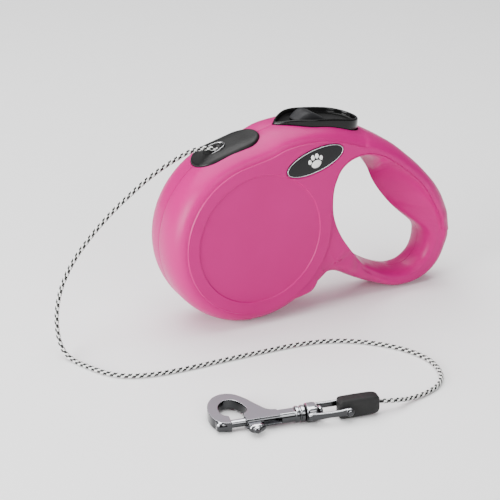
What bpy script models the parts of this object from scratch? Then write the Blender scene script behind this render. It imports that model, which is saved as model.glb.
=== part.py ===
"""Retractable cord leash: a two-shell casing with a finger hole, a spring reel, a thumb brake and
a bolt-snap hook on the end of the cord.

The casing stands on its drum and on the lower bar of its handle.  +X runs from the nose to the
handle, +Y to the casing's right side and +Z up.  The origin is under the middle of the casing.
Lengths are in millimetres until they reach a mesh, which is in metres.
"""
import math

import bmesh
import bpy
from mathutils import Matrix, Vector

MM = 0.001
GAP = 0.3                       # clearance kept between neighbouring pieces

# Driving dimensions of the casing
CASE_LENGTH = 130.0
DRUM_RADIUS = 36.6
HALF_THICKNESS = 13.8
WALL = 2.0
PARTING_LAND = 3.0              # half width of the flat strip along the parting line
DRUM_X = DRUM_RADIUS - CASE_LENGTH / 2
GRIP_X, GRIP_Z = 50.0, 40.0     # middle of the finger hole, measured from the drum's axis
STATIONS = 96

# Reel, spring and brake
REEL_RADIUS = 27.0
HUB_RADIUS = 12.0
BORE_RADIUS = 2.4
TOOTH_COUNT = 12
TOOTH_DEPTH = 2.2
RATCHET_Y = (-10.6, -8.6)
CHANNEL_Y = (-8.6, 0.4)
HOUSING_Y = (1.4, 9.4)
WINDING_RADIUS = 21.5
SPRING_TURNS = 8
PAWL_PIVOT = (33.0, 67.8)

# Side panels, badges and screws
DISC_RADIUS = 25.8
DISC_DEPTH = 0.4
BADGE_CENTRE = (22.4, 65.4)
BADGE_HALF = (12.6, 4.8)
BADGE_TILT = math.radians(16)
BADGE_DEPTH = 0.6
SCREWS = {                      # place from the drum's axis, head's seat, post's radius and height
    "screw_nose": (-25.2, 17.2, 8.8, 3.1, 10.2),
    "screw_panel": (26.8, 58.4, 10.6, 3.1, 12.0),
    "screw_neck": (41.4, 16.6, 8.2, 2.7, 9.4),
    "screw_arm": (82.5, 36.5, 8.8, 2.6, 10.4),
}
SCREW_TIP = -7.0

# Cord guide and thumb button
GUIDE_FROM_X, GUIDE_TO_X = -22.5, 4.0
GUIDE_HALF_WIDTH = 7.8
GUIDE_PROUD = 0.7
GUIDE_DEPTH = 2.6
MOUTH_AT = 0.36                 # place of the mouth along the guide, from its front end
MOUTH_RADIUS = 3.2
THROAT_RADIUS = 1.5
TRAY_FROM_X, TRAY_TO_X = 11.0, 47.6
TRAY_HALF_WIDTH = 8.8
TRAY_DEPTH = 5.8

# Cord and hook
CORD_RADIUS = 0.9
PIN_PLACE = Vector((-5.15, -88.1, 3.95))
HOOK_HEADING = math.radians(-12.5)
HOOK_PITCH = math.radians(2.2)
SLEEVE_PITCH = math.radians(3.0)
SLEEVE_FROM, SLEEVE_TO = -3.0, 11.7
SLEEVE_WIDTH, SLEEVE_HEIGHT = 5.2, 7.2

# The casing's outline at the parting line, after the drum's arc, measured from the drum's axis
BACK_OUTLINE = [(27.8, 12.1), (31.2, 13.5), (35, 13.8), (39, 12.6), (43.5, 10.2), (48.5, 7.6), (55, 4.7),
                (65.6, 0.8), (72.1, 0), (78.9, 0.8), (85, 3.3), (89.8, 8), (92.6, 14.5), (93.4, 21),
                (90.4, 33), (84.5, 43.7), (76.1, 53), (69.5, 58.8), (62.6, 64.2), (55.5, 68.3),
                (49.2, 71.4), (40, 75.2), (30, 77.8), (20, 78.4), (12, 77.7), (7, 76.6), (1.8, 74.6)]
HOLE_OUTLINE = [(31.8, 50), (32.2, 43), (34, 36.5), (37, 30.6), (41.3, 24.9), (46.8, 19.6), (52.9, 14.9),
                (58.9, 11.5), (65.3, 9), (70, 7.8), (75.5, 8.4), (79.4, 11.6), (81.4, 16), (81.7, 20.6),
                (80, 24.4), (72.4, 31), (67.1, 35.9), (61.8, 41.9), (57.6, 47.8), (54.6, 53.8),
                (51.4, 59.6), (46.6, 62.6), (41, 61.8), (36.2, 58.6), (33, 54.6)]
LIP_OUTLINE = [(30.9, 50), (31.2, 43.6), (32.7, 37.6), (36, 30.8), (40.3, 24.7), (44.8, 19.2), (50, 13.4),
               (56.5, 9.2), (64.5, 5.2), (71.4, 4.1), (78, 5.2), (83.2, 9), (86, 14), (87, 19.4),
               (87, 25), (83.6, 33), (78.4, 41), (73, 48.2), (67.4, 53.4), (61.2, 58.2),
               (54, 62.8), (46.4, 65.2), (39.6, 64.4), (34.6, 61), (31.9, 55.6)]

# Values along the casing, as (direction from the middle of the finger hole in degrees, value)
THICKNESS_AT = [(-141, 13.8), (-125, 13.8), (-112, 12.6), (-98, 10.8), (-82, 9.2), (-62, 8.4), (-44, 8.4),
                (-31, 9.2), (-20, 10.8), (-8, 12.8), (4, 13.8), (180, 13.8), (219, 13.8)]
FLANK_AT = [(-141, 5.7), (-122, 5.7), (-100, 5.0), (-82, 4.3), (-62, 3.6), (-44, 3.9), (-31, 5.0),
            (-18, 5.7), (180, 5.7), (219, 5.7)]
SCOOP_AT = [(-141, 0.0), (-30, 0.0), (-10, 0.7), (10, 1.0), (55, 1.0), (80, 0.3), (110, 0.0), (219, 0.0)]

# The free cord's own route, from the guide's mouth to the sleeve, measured from the drum's axis
CORD_ROUTE = [(-12.6, 0, 70.4), (-15.8, 0, 71.4), (-19.8, 0, 71.8), (-24.4, -0.1, 71.1), (-32, -0.3, 68.1),
              (-40, -0.4, 63.8), (-48.1, -0.5, 58.2), (-56.2, -0.6, 51.8), (-64, -0.8, 44.4),
              (-71.2, -1.0, 35.8), (-76.2, -1.4, 26.6), (-78.6, -2.0, 17.6), (-79.1, -3.4, 9.2),
              (-78.2, -6.4, 3.2), (-76.2, -11.4, 1.1), (-73.2, -18.3, 1), (-68.2, -26.6, 1),
              (-61.6, -31.6, 1), (-51.5, -34.2, 1), (-39.6, -34.9, 1), (-27.2, -34.8, 1), (-10.6, -34.9, 1),
              (5.2, -35.5, 1), (17.8, -38.1, 1), (28.2, -43.6, 1), (36.8, -51.6, 1), (42.2, -60.4, 1),
              (43.9, -69.6, 1), (41.4, -78.4, 1), (36, -84.4, 1), (28.6, -87.6, 1), (20.6, -89.2, 1.5),
              (13.4, -91.2, 3.6), (6.8, -90.76, 4.6)]

PINK = (0.60, 0.055, 0.24)
BLACK = (0.012, 0.012, 0.014)
DARK_GREY = (0.04, 0.04, 0.045)
STEEL = (0.62, 0.63, 0.65)
NATURAL = (0.75, 0.74, 0.70)


# ---------------------------------------------------------------- helpers

def clear_scene():
    for item in list(bpy.data.objects):
        bpy.data.objects.remove(item, do_unlink=True)


def material(name, colour, roughness, metallic=0.0):
    made = bpy.data.materials.new(name)
    made.use_nodes = True
    shader = made.node_tree.nodes["Principled BSDF"]
    shader.inputs["Base Color"].default_value = (*colour, 1)
    shader.inputs["Roughness"].default_value = roughness
    shader.inputs["Metallic"].default_value = metallic
    made.diffuse_color = (*colour, 1)
    return made


def from_drum(x, y, z):
    """A point measured from the drum's axis, in metres in the part's frame."""
    return Vector((x + DRUM_X, y, z)) * MM


def add_object(name, mesh_builder, finish, origin=(0, 0, 0), sharp=35):
    """Make a named object whose origin is at a point in metres; the mesh is built in the part's frame."""
    mesh = bpy.data.meshes.new(name)
    bmesh.ops.recalc_face_normals(mesh_builder, faces=mesh_builder.faces)
    bmesh.ops.translate(mesh_builder, verts=mesh_builder.verts, vec=-Vector(origin))
    mesh_builder.to_mesh(mesh)
    mesh_builder.free()
    mesh.shade_smooth()
    mesh.set_sharp_from_angle(angle=math.radians(sharp))
    made = bpy.data.objects.new(name, mesh)
    made.location = origin
    if finish:
        mesh.materials.append(finish)
    bpy.context.collection.objects.link(made)
    return made


def add_tool(name, mesh_builder):
    """A cutting or joining shape that isn't part of the object."""
    tool = add_object(name, mesh_builder, None)
    tool.hide_render = True
    tool.display_type = "WIRE"
    return tool


def boolean(target, tool, operation="DIFFERENCE"):
    step = target.modifiers.new(tool.name, "BOOLEAN")
    step.solver = "EXACT"
    step.operation = operation
    step.object = tool


def bevel(target, width, segments=2, angle=40):
    step = target.modifiers.new("Bevel", "BEVEL")
    step.width = width * MM
    step.segments = segments
    step.limit_method = "ANGLE"
    step.angle_limit = math.radians(angle)


def smooth_curve(points, per_span, closed):
    """Points along a Catmull-Rom curve through the given points."""
    points = [Vector(p) for p in points]
    count = len(points)
    spans = count if closed else count - 1
    out = []
    for i in range(spans):
        if closed:
            a, b, c, d = (points[(i + k) % count] for k in (-1, 0, 1, 2))
        else:
            b, c = points[i], points[i + 1]
            a = points[i - 1] if i else b * 2 - c
            d = points[i + 2] if i + 2 < count else c * 2 - b
        for k in range(per_span):
            t = k / per_span
            out.append(0.5 * (2 * b + (c - a) * t + (2 * a - 5 * b + 4 * c - d) * t * t
                              + (3 * b - a - 3 * c + d) * t ** 3))
    if not closed:
        out.append(points[-1])
    return out


def spaced(points, spacing):
    """The same open curve with evenly spaced points."""
    run = [0.0]
    for a, b in zip(points, points[1:]):
        run.append(run[-1] + (b - a).length)
    count = max(2, round(run[-1] / spacing))
    out, k = [], 0
    for i in range(count + 1):
        want = run[-1] * i / count
        while k < len(points) - 2 and run[k + 1] < want:
            k += 1
        out.append(points[k].lerp(points[k + 1], (want - run[k]) / (run[k + 1] - run[k])))
    return out


def along(table, degrees):
    """A value that changes smoothly between the stations of a table."""
    for (a, va), (b, vb) in zip(table, table[1:]):
        if degrees <= b:
            t = min(1, max(0, (degrees - a) / (b - a)))
            return va + (vb - va) * (3 * t * t - 2 * t ** 3)
    return table[-1][1]


def loft(rings, closed_rings=True, join_ends=False):
    """A surface over rings that all have the same number of points."""
    builder = bmesh.new()
    rows = [[builder.verts.new(p) for p in ring] for ring in rings]
    pairs = list(zip(rows, rows[1:]))
    if join_ends:
        pairs.append((rows[-1], rows[0]))
    size = len(rings[0])
    for low, high in pairs:
        for i in range(size if closed_rings else size - 1):
            j = (i + 1) % size
            builder.faces.new((low[i], low[j], high[j], high[i]))
    if not join_ends:
        builder.faces.new(rows[0])
        builder.faces.new(rows[-1])
    return builder


def turned(profile, centre, steps=40, axis="Y"):
    """A solid turned about an axis; the profile is a closed loop of (radius, place along the axis)."""
    rows = []
    for i in range(steps):
        turn = 2 * math.pi * i / steps
        c, s = math.cos(turn), math.sin(turn)
        if axis == "Y":
            rows.append([centre + Vector((r * c, h, r * s)) * MM for r, h in profile])
        else:
            rows.append([centre + Vector((r * c, r * s, h)) * MM for r, h in profile])
    builder = loft(rows, join_ends=True)
    bmesh.ops.remove_doubles(builder, verts=builder.verts, dist=0.00001)
    loose = [f for f in builder.faces if f.calc_area() < 1e-13]
    bmesh.ops.delete(builder, geom=loose, context="FACES")
    return builder


def ring_profile(inner, outer, low, high):
    return [(inner, low), (outer, low), (outer, high), (inner, high)]


def prism(outline, low, high, place):
    """An outline extruded between two heights; place turns (a, b, height) into a point in metres."""
    return loft([[place(a, b, h) for a, b in outline] for h in (low, high)])


def xz_prism(outline, low, high):
    return prism(outline, low, high, lambda x, z, y: from_drum(x, y, z))


def circle(x, z, radius, steps=24):
    return [(x + radius * math.cos(2 * math.pi * i / steps), z + radius * math.sin(2 * math.pi * i / steps))
            for i in range(steps)]


def merge_builders(parts):
    """Several separate closed shapes in one mesh, for use as one cutting or joining tool."""
    whole = bmesh.new()
    for part in parts:
        scratch = bpy.data.meshes.new("scratch")
        bmesh.ops.recalc_face_normals(part, faces=part.faces)
        part.to_mesh(scratch)
        part.free()
        whole.from_mesh(scratch)
        bpy.data.meshes.remove(scratch)
    return whole


def wire(name, points, radius, finish, resolution=2):
    """A round wire or cord through points in metres."""
    data = bpy.data.curves.new(name, "CURVE")
    data.dimensions = "3D"
    data.bevel_depth = radius * MM
    data.bevel_resolution = resolution
    data.use_fill_caps = True
    line = data.splines.new("POLY")
    line.points.add(len(points) - 1)
    for point, place in zip(line.points, points):
        point.co = (*place, 1)
    made = bpy.data.objects.new(name, data)
    data.materials.append(finish)
    bpy.context.collection.objects.link(made)
    return made


# ---------------------------------------------------------------- casing

def case_outline():
    """The rim at the parting line: the drum from its top over the nose, then the neck and the handle."""
    turns = [math.radians(100 + (311 - 100) * i / 26) for i in range(27)]
    drum = [(DRUM_RADIUS * math.cos(t), DRUM_RADIUS + DRUM_RADIUS * math.sin(t)) for t in turns]
    return smooth_curve([(x, z, 0) for x, z in drum + BACK_OUTLINE], 8, True)


def radius_towards(curve, direction):
    """Distance from the middle of the finger hole to a curve round it, in a direction in radians."""
    gx, gz = GRIP_X, GRIP_Z
    count = len(curve)
    ray = Vector((math.cos(direction), math.sin(direction)))
    for i in range(count):
        a = Vector((curve[i][0] - gx, curve[i][1] - gz))
        b = Vector((curve[(i + 1) % count][0] - gx, curve[(i + 1) % count][1] - gz))
        ca, cb = ray.cross(a), ray.cross(b)
        if (ca <= 0) != (cb <= 0):
            hit = a.lerp(b, ca / (ca - cb))
            if hit.dot(ray) > 0:
                return hit.length
    raise ValueError("the curve doesn't go round the finger hole")


def casing_stations():
    """Matched points of the outline, the hole and its lip, with the local sizes of the section."""
    hole = smooth_curve([(x, z, 0) for x, z in HOLE_OUTLINE], 8, True)
    lip = smooth_curve([(x, z, 0) for x, z in LIP_OUTLINE], 8, True)
    loop = case_outline()
    loop = spaced(loop + [loop[0]], 0.5)[:-1]
    picks = [round(i * len(loop) / STATIONS) for i in range(STATIONS)]
    centre = Vector((GRIP_X, GRIP_Z))

    turns = []
    for k in picks:
        turn = math.atan2(loop[k].y - GRIP_Z, loop[k].x - GRIP_X)
        turns.append(turn if turns == [] or turn > turns[-1] - 1 else turn + 2 * math.pi)
    axis = Vector((0, DRUM_RADIUS))
    drum = [i for i, k in enumerate(picks) if (loop[k].xy - axis).length < DRUM_RADIUS + 0.1]
    first, last = drum[0], drum[-1] + 4
    for i in range(first, last):        # spread the sections evenly over the drum and the neck
        turns[i] = turns[first] + (turns[last] - turns[first]) * (i - first) / (last - first)

    stations = []
    for k, turn in zip(picks, turns):
        rim = loop[k].xy
        tangent = (loop[(k + 7) % len(loop)] - loop[k - 7]).xy.normalized()
        normal = Vector((tangent.y, -tangent.x))
        ray = Vector((math.cos(turn), math.sin(turn)))
        lip_point = centre + ray * radius_towards(lip, turn)
        degrees = (math.degrees(turn) + 141) % 360 - 141
        stations.append({
            "rim": rim, "normal": normal, "ray": ray, "lip": lip_point,
            "hole": centre + ray * radius_towards(hole, turn),
            "thick": along(THICKNESS_AT, degrees),
            "flank": min(along(FLANK_AT, degrees), 0.8 * (rim - lip_point).dot(normal)),
            "scoop": along(SCOOP_AT, degrees),
        })
    return stations


def section(station, side, inset):
    """One section through half the casing, from its rim over the side face to the finger hole."""
    rim = station["rim"] - station["normal"] * inset
    face = station["rim"] - station["normal"] * station["flank"]
    lip, hole = station["lip"], station["hole"] + station["ray"] * inset
    top = station["thick"] - inset
    if inset:
        reach = max(0.01, (lip - face).length)
        share = min(0.3, 0.8 / reach)
        face, lip = face.lerp(lip, share), lip.lerp(face, share)
    land = PARTING_LAND
    half_gap = GAP / 2
    points = [(rim, half_gap), (rim, land)]
    for turn in (math.radians(t) for t in (28, 50, 70, 90)):
        points.append((rim.lerp(face, 1 - math.cos(turn)), land + (top - land) * math.sin(turn)))
    scoop = station["scoop"]
    for s in (0.0, 0.3, 0.55, 0.8, 1.0):
        round_depth, round_height = math.sin(s * math.pi / 2), math.cos(s * math.pi / 2)
        depth = scoop * s ** 1.5 + (1 - scoop) * round_depth
        height = scoop * (1 - s) + (1 - scoop) * round_height
        points.append((lip.lerp(hole, depth), half_gap + (top - half_gap) * height))
    return [from_drum(p.x, side * y, p.y) for p, y in points]


def shell_mesh(stations, side):
    outer = [section(s, side, 0.0) for s in stations]
    inner = [section(s, side, WALL) for s in stations]
    return loft([o + i[::-1] for o, i in zip(outer, inner)], join_ends=True)


def badge_outline(grow=0.0, steps=36):
    out = []
    for i in range(steps):
        t = 2 * math.pi * i / steps
        a, b = (BADGE_HALF[0] + grow) * math.cos(t), (BADGE_HALF[1] + grow) * math.sin(t)
        out.append((BADGE_CENTRE[0] + a * math.cos(BADGE_TILT) - b * math.sin(BADGE_TILT),
                    BADGE_CENTRE[1] + a * math.sin(BADGE_TILT) + b * math.cos(BADGE_TILT)))
    return out


def boss_tool(side):
    """Posts inside a shell that the screws pull together."""
    posts = []
    for x, z, _, radius, height in SCREWS.values():
        posts.append(xz_prism(circle(x, z, radius, 16), *sorted((side * GAP, side * height))))
    return merge_builders(posts)


def screw_hole_tool(side):
    holes = []
    for x, z, seat, _, _ in SCREWS.values():
        centre = from_drum(x, 0, z)
        if side > 0:
            profile = [(0, -1), (1.45, -1), (1.45, seat - GAP), (2.45, seat - GAP), (2.45, 16), (0, 16)]
        else:
            profile = [(0, SCREW_TIP - 0.4), (1.45, SCREW_TIP - 0.4), (1.45, 1), (0, 1)]
        holes.append(turned(profile, centre, 16))
    return merge_builders(holes)


def casing(stations, window_tools, pink):
    for name, side in (("left_shell", -1), ("right_shell", 1)):
        shell = add_object(name, shell_mesh(stations, side), pink, sharp=40)
        face = side * HALF_THICKNESS
        low, high = sorted((face - side * DISC_DEPTH, face + side * 3))
        disc = xz_prism(circle(0, DRUM_RADIUS, DISC_RADIUS, 48), low, high)
        low, high = sorted((face - side * (BADGE_DEPTH + GAP), face + side * 3))
        pocket = xz_prism(badge_outline(GAP), low, high)
        boolean(shell, add_tool(name + "_bosses", boss_tool(side)), "UNION")
        boolean(shell, add_tool(name + "_screw_holes", screw_hole_tool(side)))
        boolean(shell, add_tool(name + "_recesses", merge_builders([disc, pocket])))
        for tool in window_tools:
            boolean(shell, tool)


def badges(black):
    for name, side in (("left_badge", -1), ("right_badge", 1)):
        face = side * HALF_THICKNESS
        low, high = sorted((face - side * BADGE_DEPTH, face))
        add_object(name, xz_prism(badge_outline(), low, high), black)


def screws(steel):
    for name, (x, z, seat, _, _) in SCREWS.items():
        profile = [(0, seat + 1.6), (0, SCREW_TIP), (1.1, SCREW_TIP + 0.4), (1.1, seat), (2.1, seat),
                   (2.1, seat + 1.1), (1.5, seat + 1.6)]
        add_object(name, turned(profile, from_drum(x, 0, z), 20), steel)


# ---------------------------------------------------------------- cord guide and thumb button

def rim_stretch(x_from, x_to):
    """The points of the top rim between two places, from the nose backwards."""
    return sorted((p for p in case_outline() if x_from <= p.x <= x_to and p.y > DRUM_RADIUS),
                  key=lambda p: p.x)


def crown_drop(y):
    """How far the casing's surface has fallen from its rim at a distance from the parting line."""
    share = max(0.0, abs(y) - PARTING_LAND) / (HALF_THICKNESS - PARTING_LAND)
    return 5.7 * (1 - math.sqrt(1 - share ** 2))


def guide_patch(stretch, low, high, grow=0.0, steps=14):
    """A plate with round ends that follows the rim along X and the crown of the casing across it."""
    line = [p.xy for p in spaced(stretch, 0.5)]
    length = 0.5 * (len(line) - 1)
    half, reach = length / 2 + grow, GUIDE_HALF_WIDTH + grow
    rows = []
    for i in range(steps + 1):
        u = -math.cos(math.pi * i / steps) * half
        past_end = max(0.0, (abs(u) - half + reach) / reach)
        side = max(0.02, reach * math.sqrt(max(0.0, 1 - past_end ** 2)))
        run = (u + length / 2) / 0.5
        k = min(len(line) - 2, max(0, int(run)))
        ahead = line[k + 1] - line[k]
        place, normal = line[k] + ahead * (run - k), Vector((-ahead.y, ahead.x)).normalized()
        rows.append([(place, normal, v * side) for v in (-1, -0.6, 0, 0.6, 1)])

    builder = bmesh.new()
    grids = []
    for height in (low, high):
        grid = []
        for row in rows:
            points = [(p + n * (height - crown_drop(y)), y) for p, n, y in row]
            grid.append([builder.verts.new(from_drum(p.x, y, p.y)) for p, y in points])
        grids.append(grid)
    last = len(rows[0]) - 1
    for i in range(steps):
        for j in range(last):
            for grid in grids:
                builder.faces.new((grid[i][j], grid[i + 1][j], grid[i + 1][j + 1], grid[i][j + 1]))
        for j in (0, last):
            builder.faces.new((grids[0][i][j], grids[0][i + 1][j], grids[1][i + 1][j], grids[1][i][j]))
    for i in (0, steps):
        for j in range(last):
            builder.faces.new((grids[0][i][j], grids[0][i][j + 1], grids[1][i][j + 1], grids[1][i][j]))
    return builder


def mouth_frame(stretch):
    line = spaced(stretch, 0.5)
    k = round(MOUTH_AT * (len(line) - 1))
    ahead = (line[k + 1] - line[k - 1]).normalized()
    return from_drum(line[k].x, 0, line[k].y), Vector((-ahead.y, 0, ahead.x))


def cord_guide(stretch, black):
    guide = add_object("cord_guide", guide_patch(stretch, -GUIDE_DEPTH, GUIDE_PROUD), black)
    bevel(guide, 0.35, 1, 60)
    centre, outward = mouth_frame(stretch)
    profile = [(0, -6), (THROAT_RADIUS, -6), (THROAT_RADIUS, -1.6), (2.1, -0.6), (MOUTH_RADIUS, 0.75),
               (MOUTH_RADIUS, 3), (0, 3)]
    funnel = turned(profile, Vector((0, 0, 0)), 24, axis="Z")
    turn = Vector((0, 0, 1)).rotation_difference(outward).to_matrix().to_4x4()
    bmesh.ops.transform(funnel, matrix=Matrix.Translation(centre) @ turn, verts=funnel.verts)
    boolean(guide, add_tool("guide_funnel", funnel))


def tray_half_width(x):
    """The button's plan shape: pointed at the front, full at the back."""
    t = (x - TRAY_FROM_X) / (TRAY_TO_X - TRAY_FROM_X)
    front = math.sin(min(1, t / 0.42) * math.pi / 2) ** 0.75
    back = math.sqrt(max(0.0, 1 - (max(0.0, t - 0.76) / 0.24) ** 2))
    return TRAY_HALF_WIDTH * front * back


def tray_outline(grow=0.0, steps=18):
    """The plan outline as (x, y), down the left side and back up the right."""
    xs = [TRAY_FROM_X + (TRAY_TO_X - TRAY_FROM_X) * (1 - math.cos(math.pi * i / steps)) / 2
          for i in range(steps + 1)]
    left = [(x, -tray_half_width(x)) for x in xs[1:-1]]
    ends = [(xs[0], 0.0)], [(xs[-1], 0.0)]
    loop = ends[0] + left + ends[1] + [(x, -y) for x, y in reversed(left)]
    middle = (TRAY_FROM_X + TRAY_TO_X) / 2
    half = (TRAY_TO_X - TRAY_FROM_X) / 2
    return [(middle + (x - middle) * (1 + grow / half), y * (1 + grow / TRAY_HALF_WIDTH)) for x, y in loop]


def tray_rim_z(x):
    """Height of the button's rim: just above the casing at its front point, falling gently to the back."""
    front = max(0.0, 1 - (x - TRAY_FROM_X) / 9)
    return 80.1 - 0.0034 * (x - 15) ** 2 - 2.0 * front ** 1.5


def brake_button(black):
    """A tub under the thumb: outer wall, rim and a sunken floor, built as rings of the plan outline."""
    loop = tray_outline()
    middle = (TRAY_FROM_X + TRAY_TO_X) / 2

    def ring(scale, height):
        return [from_drum(middle + (x - middle) * scale, y * scale, height(x)) for x, y in loop]

    rings = [ring(0.95, lambda x: tray_rim_z(x) - TRAY_DEPTH), ring(1.0, lambda x: tray_rim_z(x) - 0.5),
             ring(0.97, tray_rim_z), ring(0.86, tray_rim_z), ring(0.8, lambda x: tray_rim_z(x) - 1.9)]
    builder = bmesh.new()
    rows = [[builder.verts.new(p) for p in r] for r in rings]
    size = len(loop)
    for low, high in zip(rows, rows[1:]):
        for i in range(size):
            j = (i + 1) % size
            builder.faces.new((low[i], low[j], high[j], high[i]))
    for row in (rows[0], rows[-1]):
        builder.faces.new((row[0], row[1], row[-1]))
        for i in range(1, size // 2 - 1):
            builder.faces.new((row[i], row[i + 1], row[-i - 1], row[-i]))
        builder.faces.new((row[size // 2 - 1], row[size // 2], row[size // 2 + 1]))
    add_object("brake_button", builder, black, sharp=30)


def lock_slider(grey):
    """A wedge on the button's floor, with a steep front and a long back."""
    outline = [(19.4, 78.6), (20.2, 79.1), (24.2, 81.2), (26, 81.2), (32.4, 78.6), (32.4, 78.0)]
    floor = [(x, tray_rim_z(x) - 1.75 + GAP) for x in (30, 26, 22)]
    slider = add_object("lock_slider", xz_prism(outline + floor, -4.2, 4.2), grey,
                        origin=from_drum(25, 0, 79))
    bevel(slider, 0.5, 2, 50)


def window_tools(stretch):
    guide = add_tool("guide_window", guide_patch(stretch, -GUIDE_DEPTH - 2, 4, grow=GAP + 0.05))
    plan = tray_outline(grow=0.45)
    button = add_tool("button_window", prism(plan, 69.5, 90, lambda x, y, z: from_drum(x, y, z)))
    return [guide, button]


# ---------------------------------------------------------------- reel, spring and brake parts

def drum_centre():
    return from_drum(0, 0, DRUM_RADIUS)


def ratchet_outline():
    """Saw teeth round the reel's left flange."""
    out = []
    pitch = 2 * math.pi / TOOTH_COUNT
    for i in range(TOOTH_COUNT):
        start = i * pitch + math.radians(62)
        for share, radius in ((0.0, REEL_RADIUS - TOOTH_DEPTH), (0.34, REEL_RADIUS - TOOTH_DEPTH),
                              (0.5, REEL_RADIUS), (0.8, REEL_RADIUS), (0.88, REEL_RADIUS - TOOTH_DEPTH)):
            turn = start + (share - 0.2) * pitch
            out.append((radius * math.cos(turn), DRUM_RADIUS + radius * math.sin(turn)))
    return out


def reel(white):
    low, high = HOUSING_Y
    profile = [(BORE_RADIUS, RATCHET_Y[0]), (24.0, RATCHET_Y[0]), (24.0, RATCHET_Y[1]),
               (HUB_RADIUS, CHANNEL_Y[0]), (HUB_RADIUS, CHANNEL_Y[1]), (REEL_RADIUS, CHANNEL_Y[1]),
               (REEL_RADIUS, low), (25.0, low), (25.0, high), (23.6, high), (23.6, low), (BORE_RADIUS, low)]
    body = add_object("reel", turned(profile, drum_centre(), 48), white, origin=drum_centre())
    teeth = xz_prism(ratchet_outline(), *RATCHET_Y)
    tool = add_tool("ratchet_teeth", teeth)
    boolean(body, tool, "UNION")
    bore = turned([(0, -12), (BORE_RADIUS, -12), (BORE_RADIUS, -8), (0, -8)], drum_centre(), 48)
    boolean(body, add_tool("ratchet_bore", bore))


def spring_strip(steel):
    """The mainspring: a strip wound from the arbor out to the housing wall."""
    steps = SPRING_TURNS * 20
    centre = drum_centre()
    inner, outer, half = 6.2, 22.6, 0.12
    rings = []
    for i in range(steps + 1):
        share = i / steps
        turn = 2 * math.pi * SPRING_TURNS * share
        radius = inner + (outer - inner) * share
        rings.append([centre + Vector((r * math.cos(turn), y, r * math.sin(turn))) * MM
                      for r, y in ((radius - half, 2.2), (radius + half, 2.2),
                                   (radius + half, 8.8), (radius - half, 8.8))])
    add_object("mainspring", loft(rings), steel)


def core_parts(white, steel, black, cord):
    centre = drum_centre()
    add_object("axle", turned([(0, -11.5), (2.0, -11.5), (2.0, 11.5), (0, 11.5)], centre, 24), steel)
    add_object("spring_arbor", turned(ring_profile(2.35, 5.0, HOUSING_Y[0] + GAP, 11.5), centre, 24), black)
    add_object("spring_cover", turned(ring_profile(5.4, 25.0, 9.7, 10.7), centre, 40), white, origin=centre)
    add_object("left_washer", turned(ring_profile(2.4, 7.5, -11.5, -10.9), centre, 24), steel)
    add_object("right_washer", turned(ring_profile(5.4, 9.0, 11.0, 11.5), centre, 24), steel)
    winding = ring_profile(HUB_RADIUS + GAP, WINDING_RADIUS, CHANNEL_Y[0] + GAP, CHANNEL_Y[1] - GAP)
    add_object("cord_winding", turned(winding, centre, 40), cord, origin=centre)


def inner_cord(stretch, cord):
    """The cord's straight run inside the casing, from the winding up to the guide's throat."""
    centre, outward = mouth_frame(stretch)
    end = centre - outward * 6.6 * MM
    start = from_drum(-20.8, -4.4, 45.6)
    points = [start.lerp(end, i / 8) for i in range(9)]
    wire("cord_inner_run", points, CORD_RADIUS, cord)


def brake_parts(white, steel):
    px, pz = PAWL_PIVOT
    outline = [(px + 2.4, pz - 1.2), (px + 2.4, pz + 1.6), (px, pz + 2.6), (26.6, 71.2), (25.4, 72.6),
               (22.6, 72.9), (20.6, 70.8), (16.5, 69.2), (12, 65.8), (11, 62), (12.7, 61.2), (15.2, 64),
               (20, 66.2), (27, 66.6), (px - 1, pz - 2.4), (px + 1, pz - 2.2)]
    pawl = add_object("brake_pawl", xz_prism(outline, -10.8, -6.2), white, origin=from_drum(px, 0, pz))
    hole = turned([(0, -12), (1.5, -12), (1.5, -5), (0, -5)], from_drum(px, 0, pz), 16)
    boolean(pawl, add_tool("pawl_bore", hole))
    pin = turned([(0, -11.5), (1.2, -11.5), (1.2, -4.4), (0, -4.4)], from_drum(px, 0, pz), 16)
    add_object("pawl_pin", pin, steel)
    coil_spring("button_spring", from_drum(39, 0, 65.4), 2.4, 0.35, 5.4, 5, steel)
    leaf = [from_drum(22.5 + x, -8.6, 65.4 + z)
            for x, z in ((7.6, -2.5), (4, -2.6), (1, -2.0), (-1.6, -1.2), (-3.4, -1.4))]
    wire("pawl_spring", leaf, 0.3, steel, 1)


def coil_spring(name, foot, radius, wire_radius, height, turns, finish, axis=Vector((0, 0, 1))):
    """A round coil of wire standing on foot along axis."""
    steps = turns * 14
    points = []
    turn_to = Vector((0, 0, 1)).rotation_difference(axis).to_matrix()
    for i in range(steps + 1):
        t = 2 * math.pi * turns * i / steps
        points.append(foot + turn_to @ Vector((radius * math.cos(t), radius * math.sin(t),
                                               wire_radius + height * i / steps)) * MM)
    return wire(name, points, wire_radius, finish, 1)


# ---------------------------------------------------------------- hook

def hook_frame(pitch):
    """Axes at the fork's cross-pin: along to the cord, across to the far side, up."""
    origin = from_drum(*PIN_PLACE)
    flat = Vector((math.cos(HOOK_HEADING), math.sin(HOOK_HEADING), 0))
    across = Vector((-flat.y, flat.x, 0))
    ahead = flat * math.cos(pitch) + Vector((0, 0, math.sin(pitch)))
    up = ahead.cross(across)
    return Matrix((ahead, across, up)).transposed().to_4x4(), origin


def placed(builder, pitch):
    """Move a shape built round the cross-pin, in metres, to its place."""
    turn, origin = hook_frame(pitch)
    bmesh.ops.transform(builder, matrix=Matrix.Translation(origin) @ turn, verts=builder.verts)
    return builder


def along_axis(profile, steps=20):
    """A turned solid along the hook's own axis."""
    builder = turned([(r, h) for r, h in profile], Vector((0, 0, 0)), steps, axis="Z")
    bmesh.ops.rotate(builder, matrix=Matrix.Rotation(math.pi / 2, 3, "Y"), verts=builder.verts, cent=(0, 0, 0))
    return builder


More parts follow.
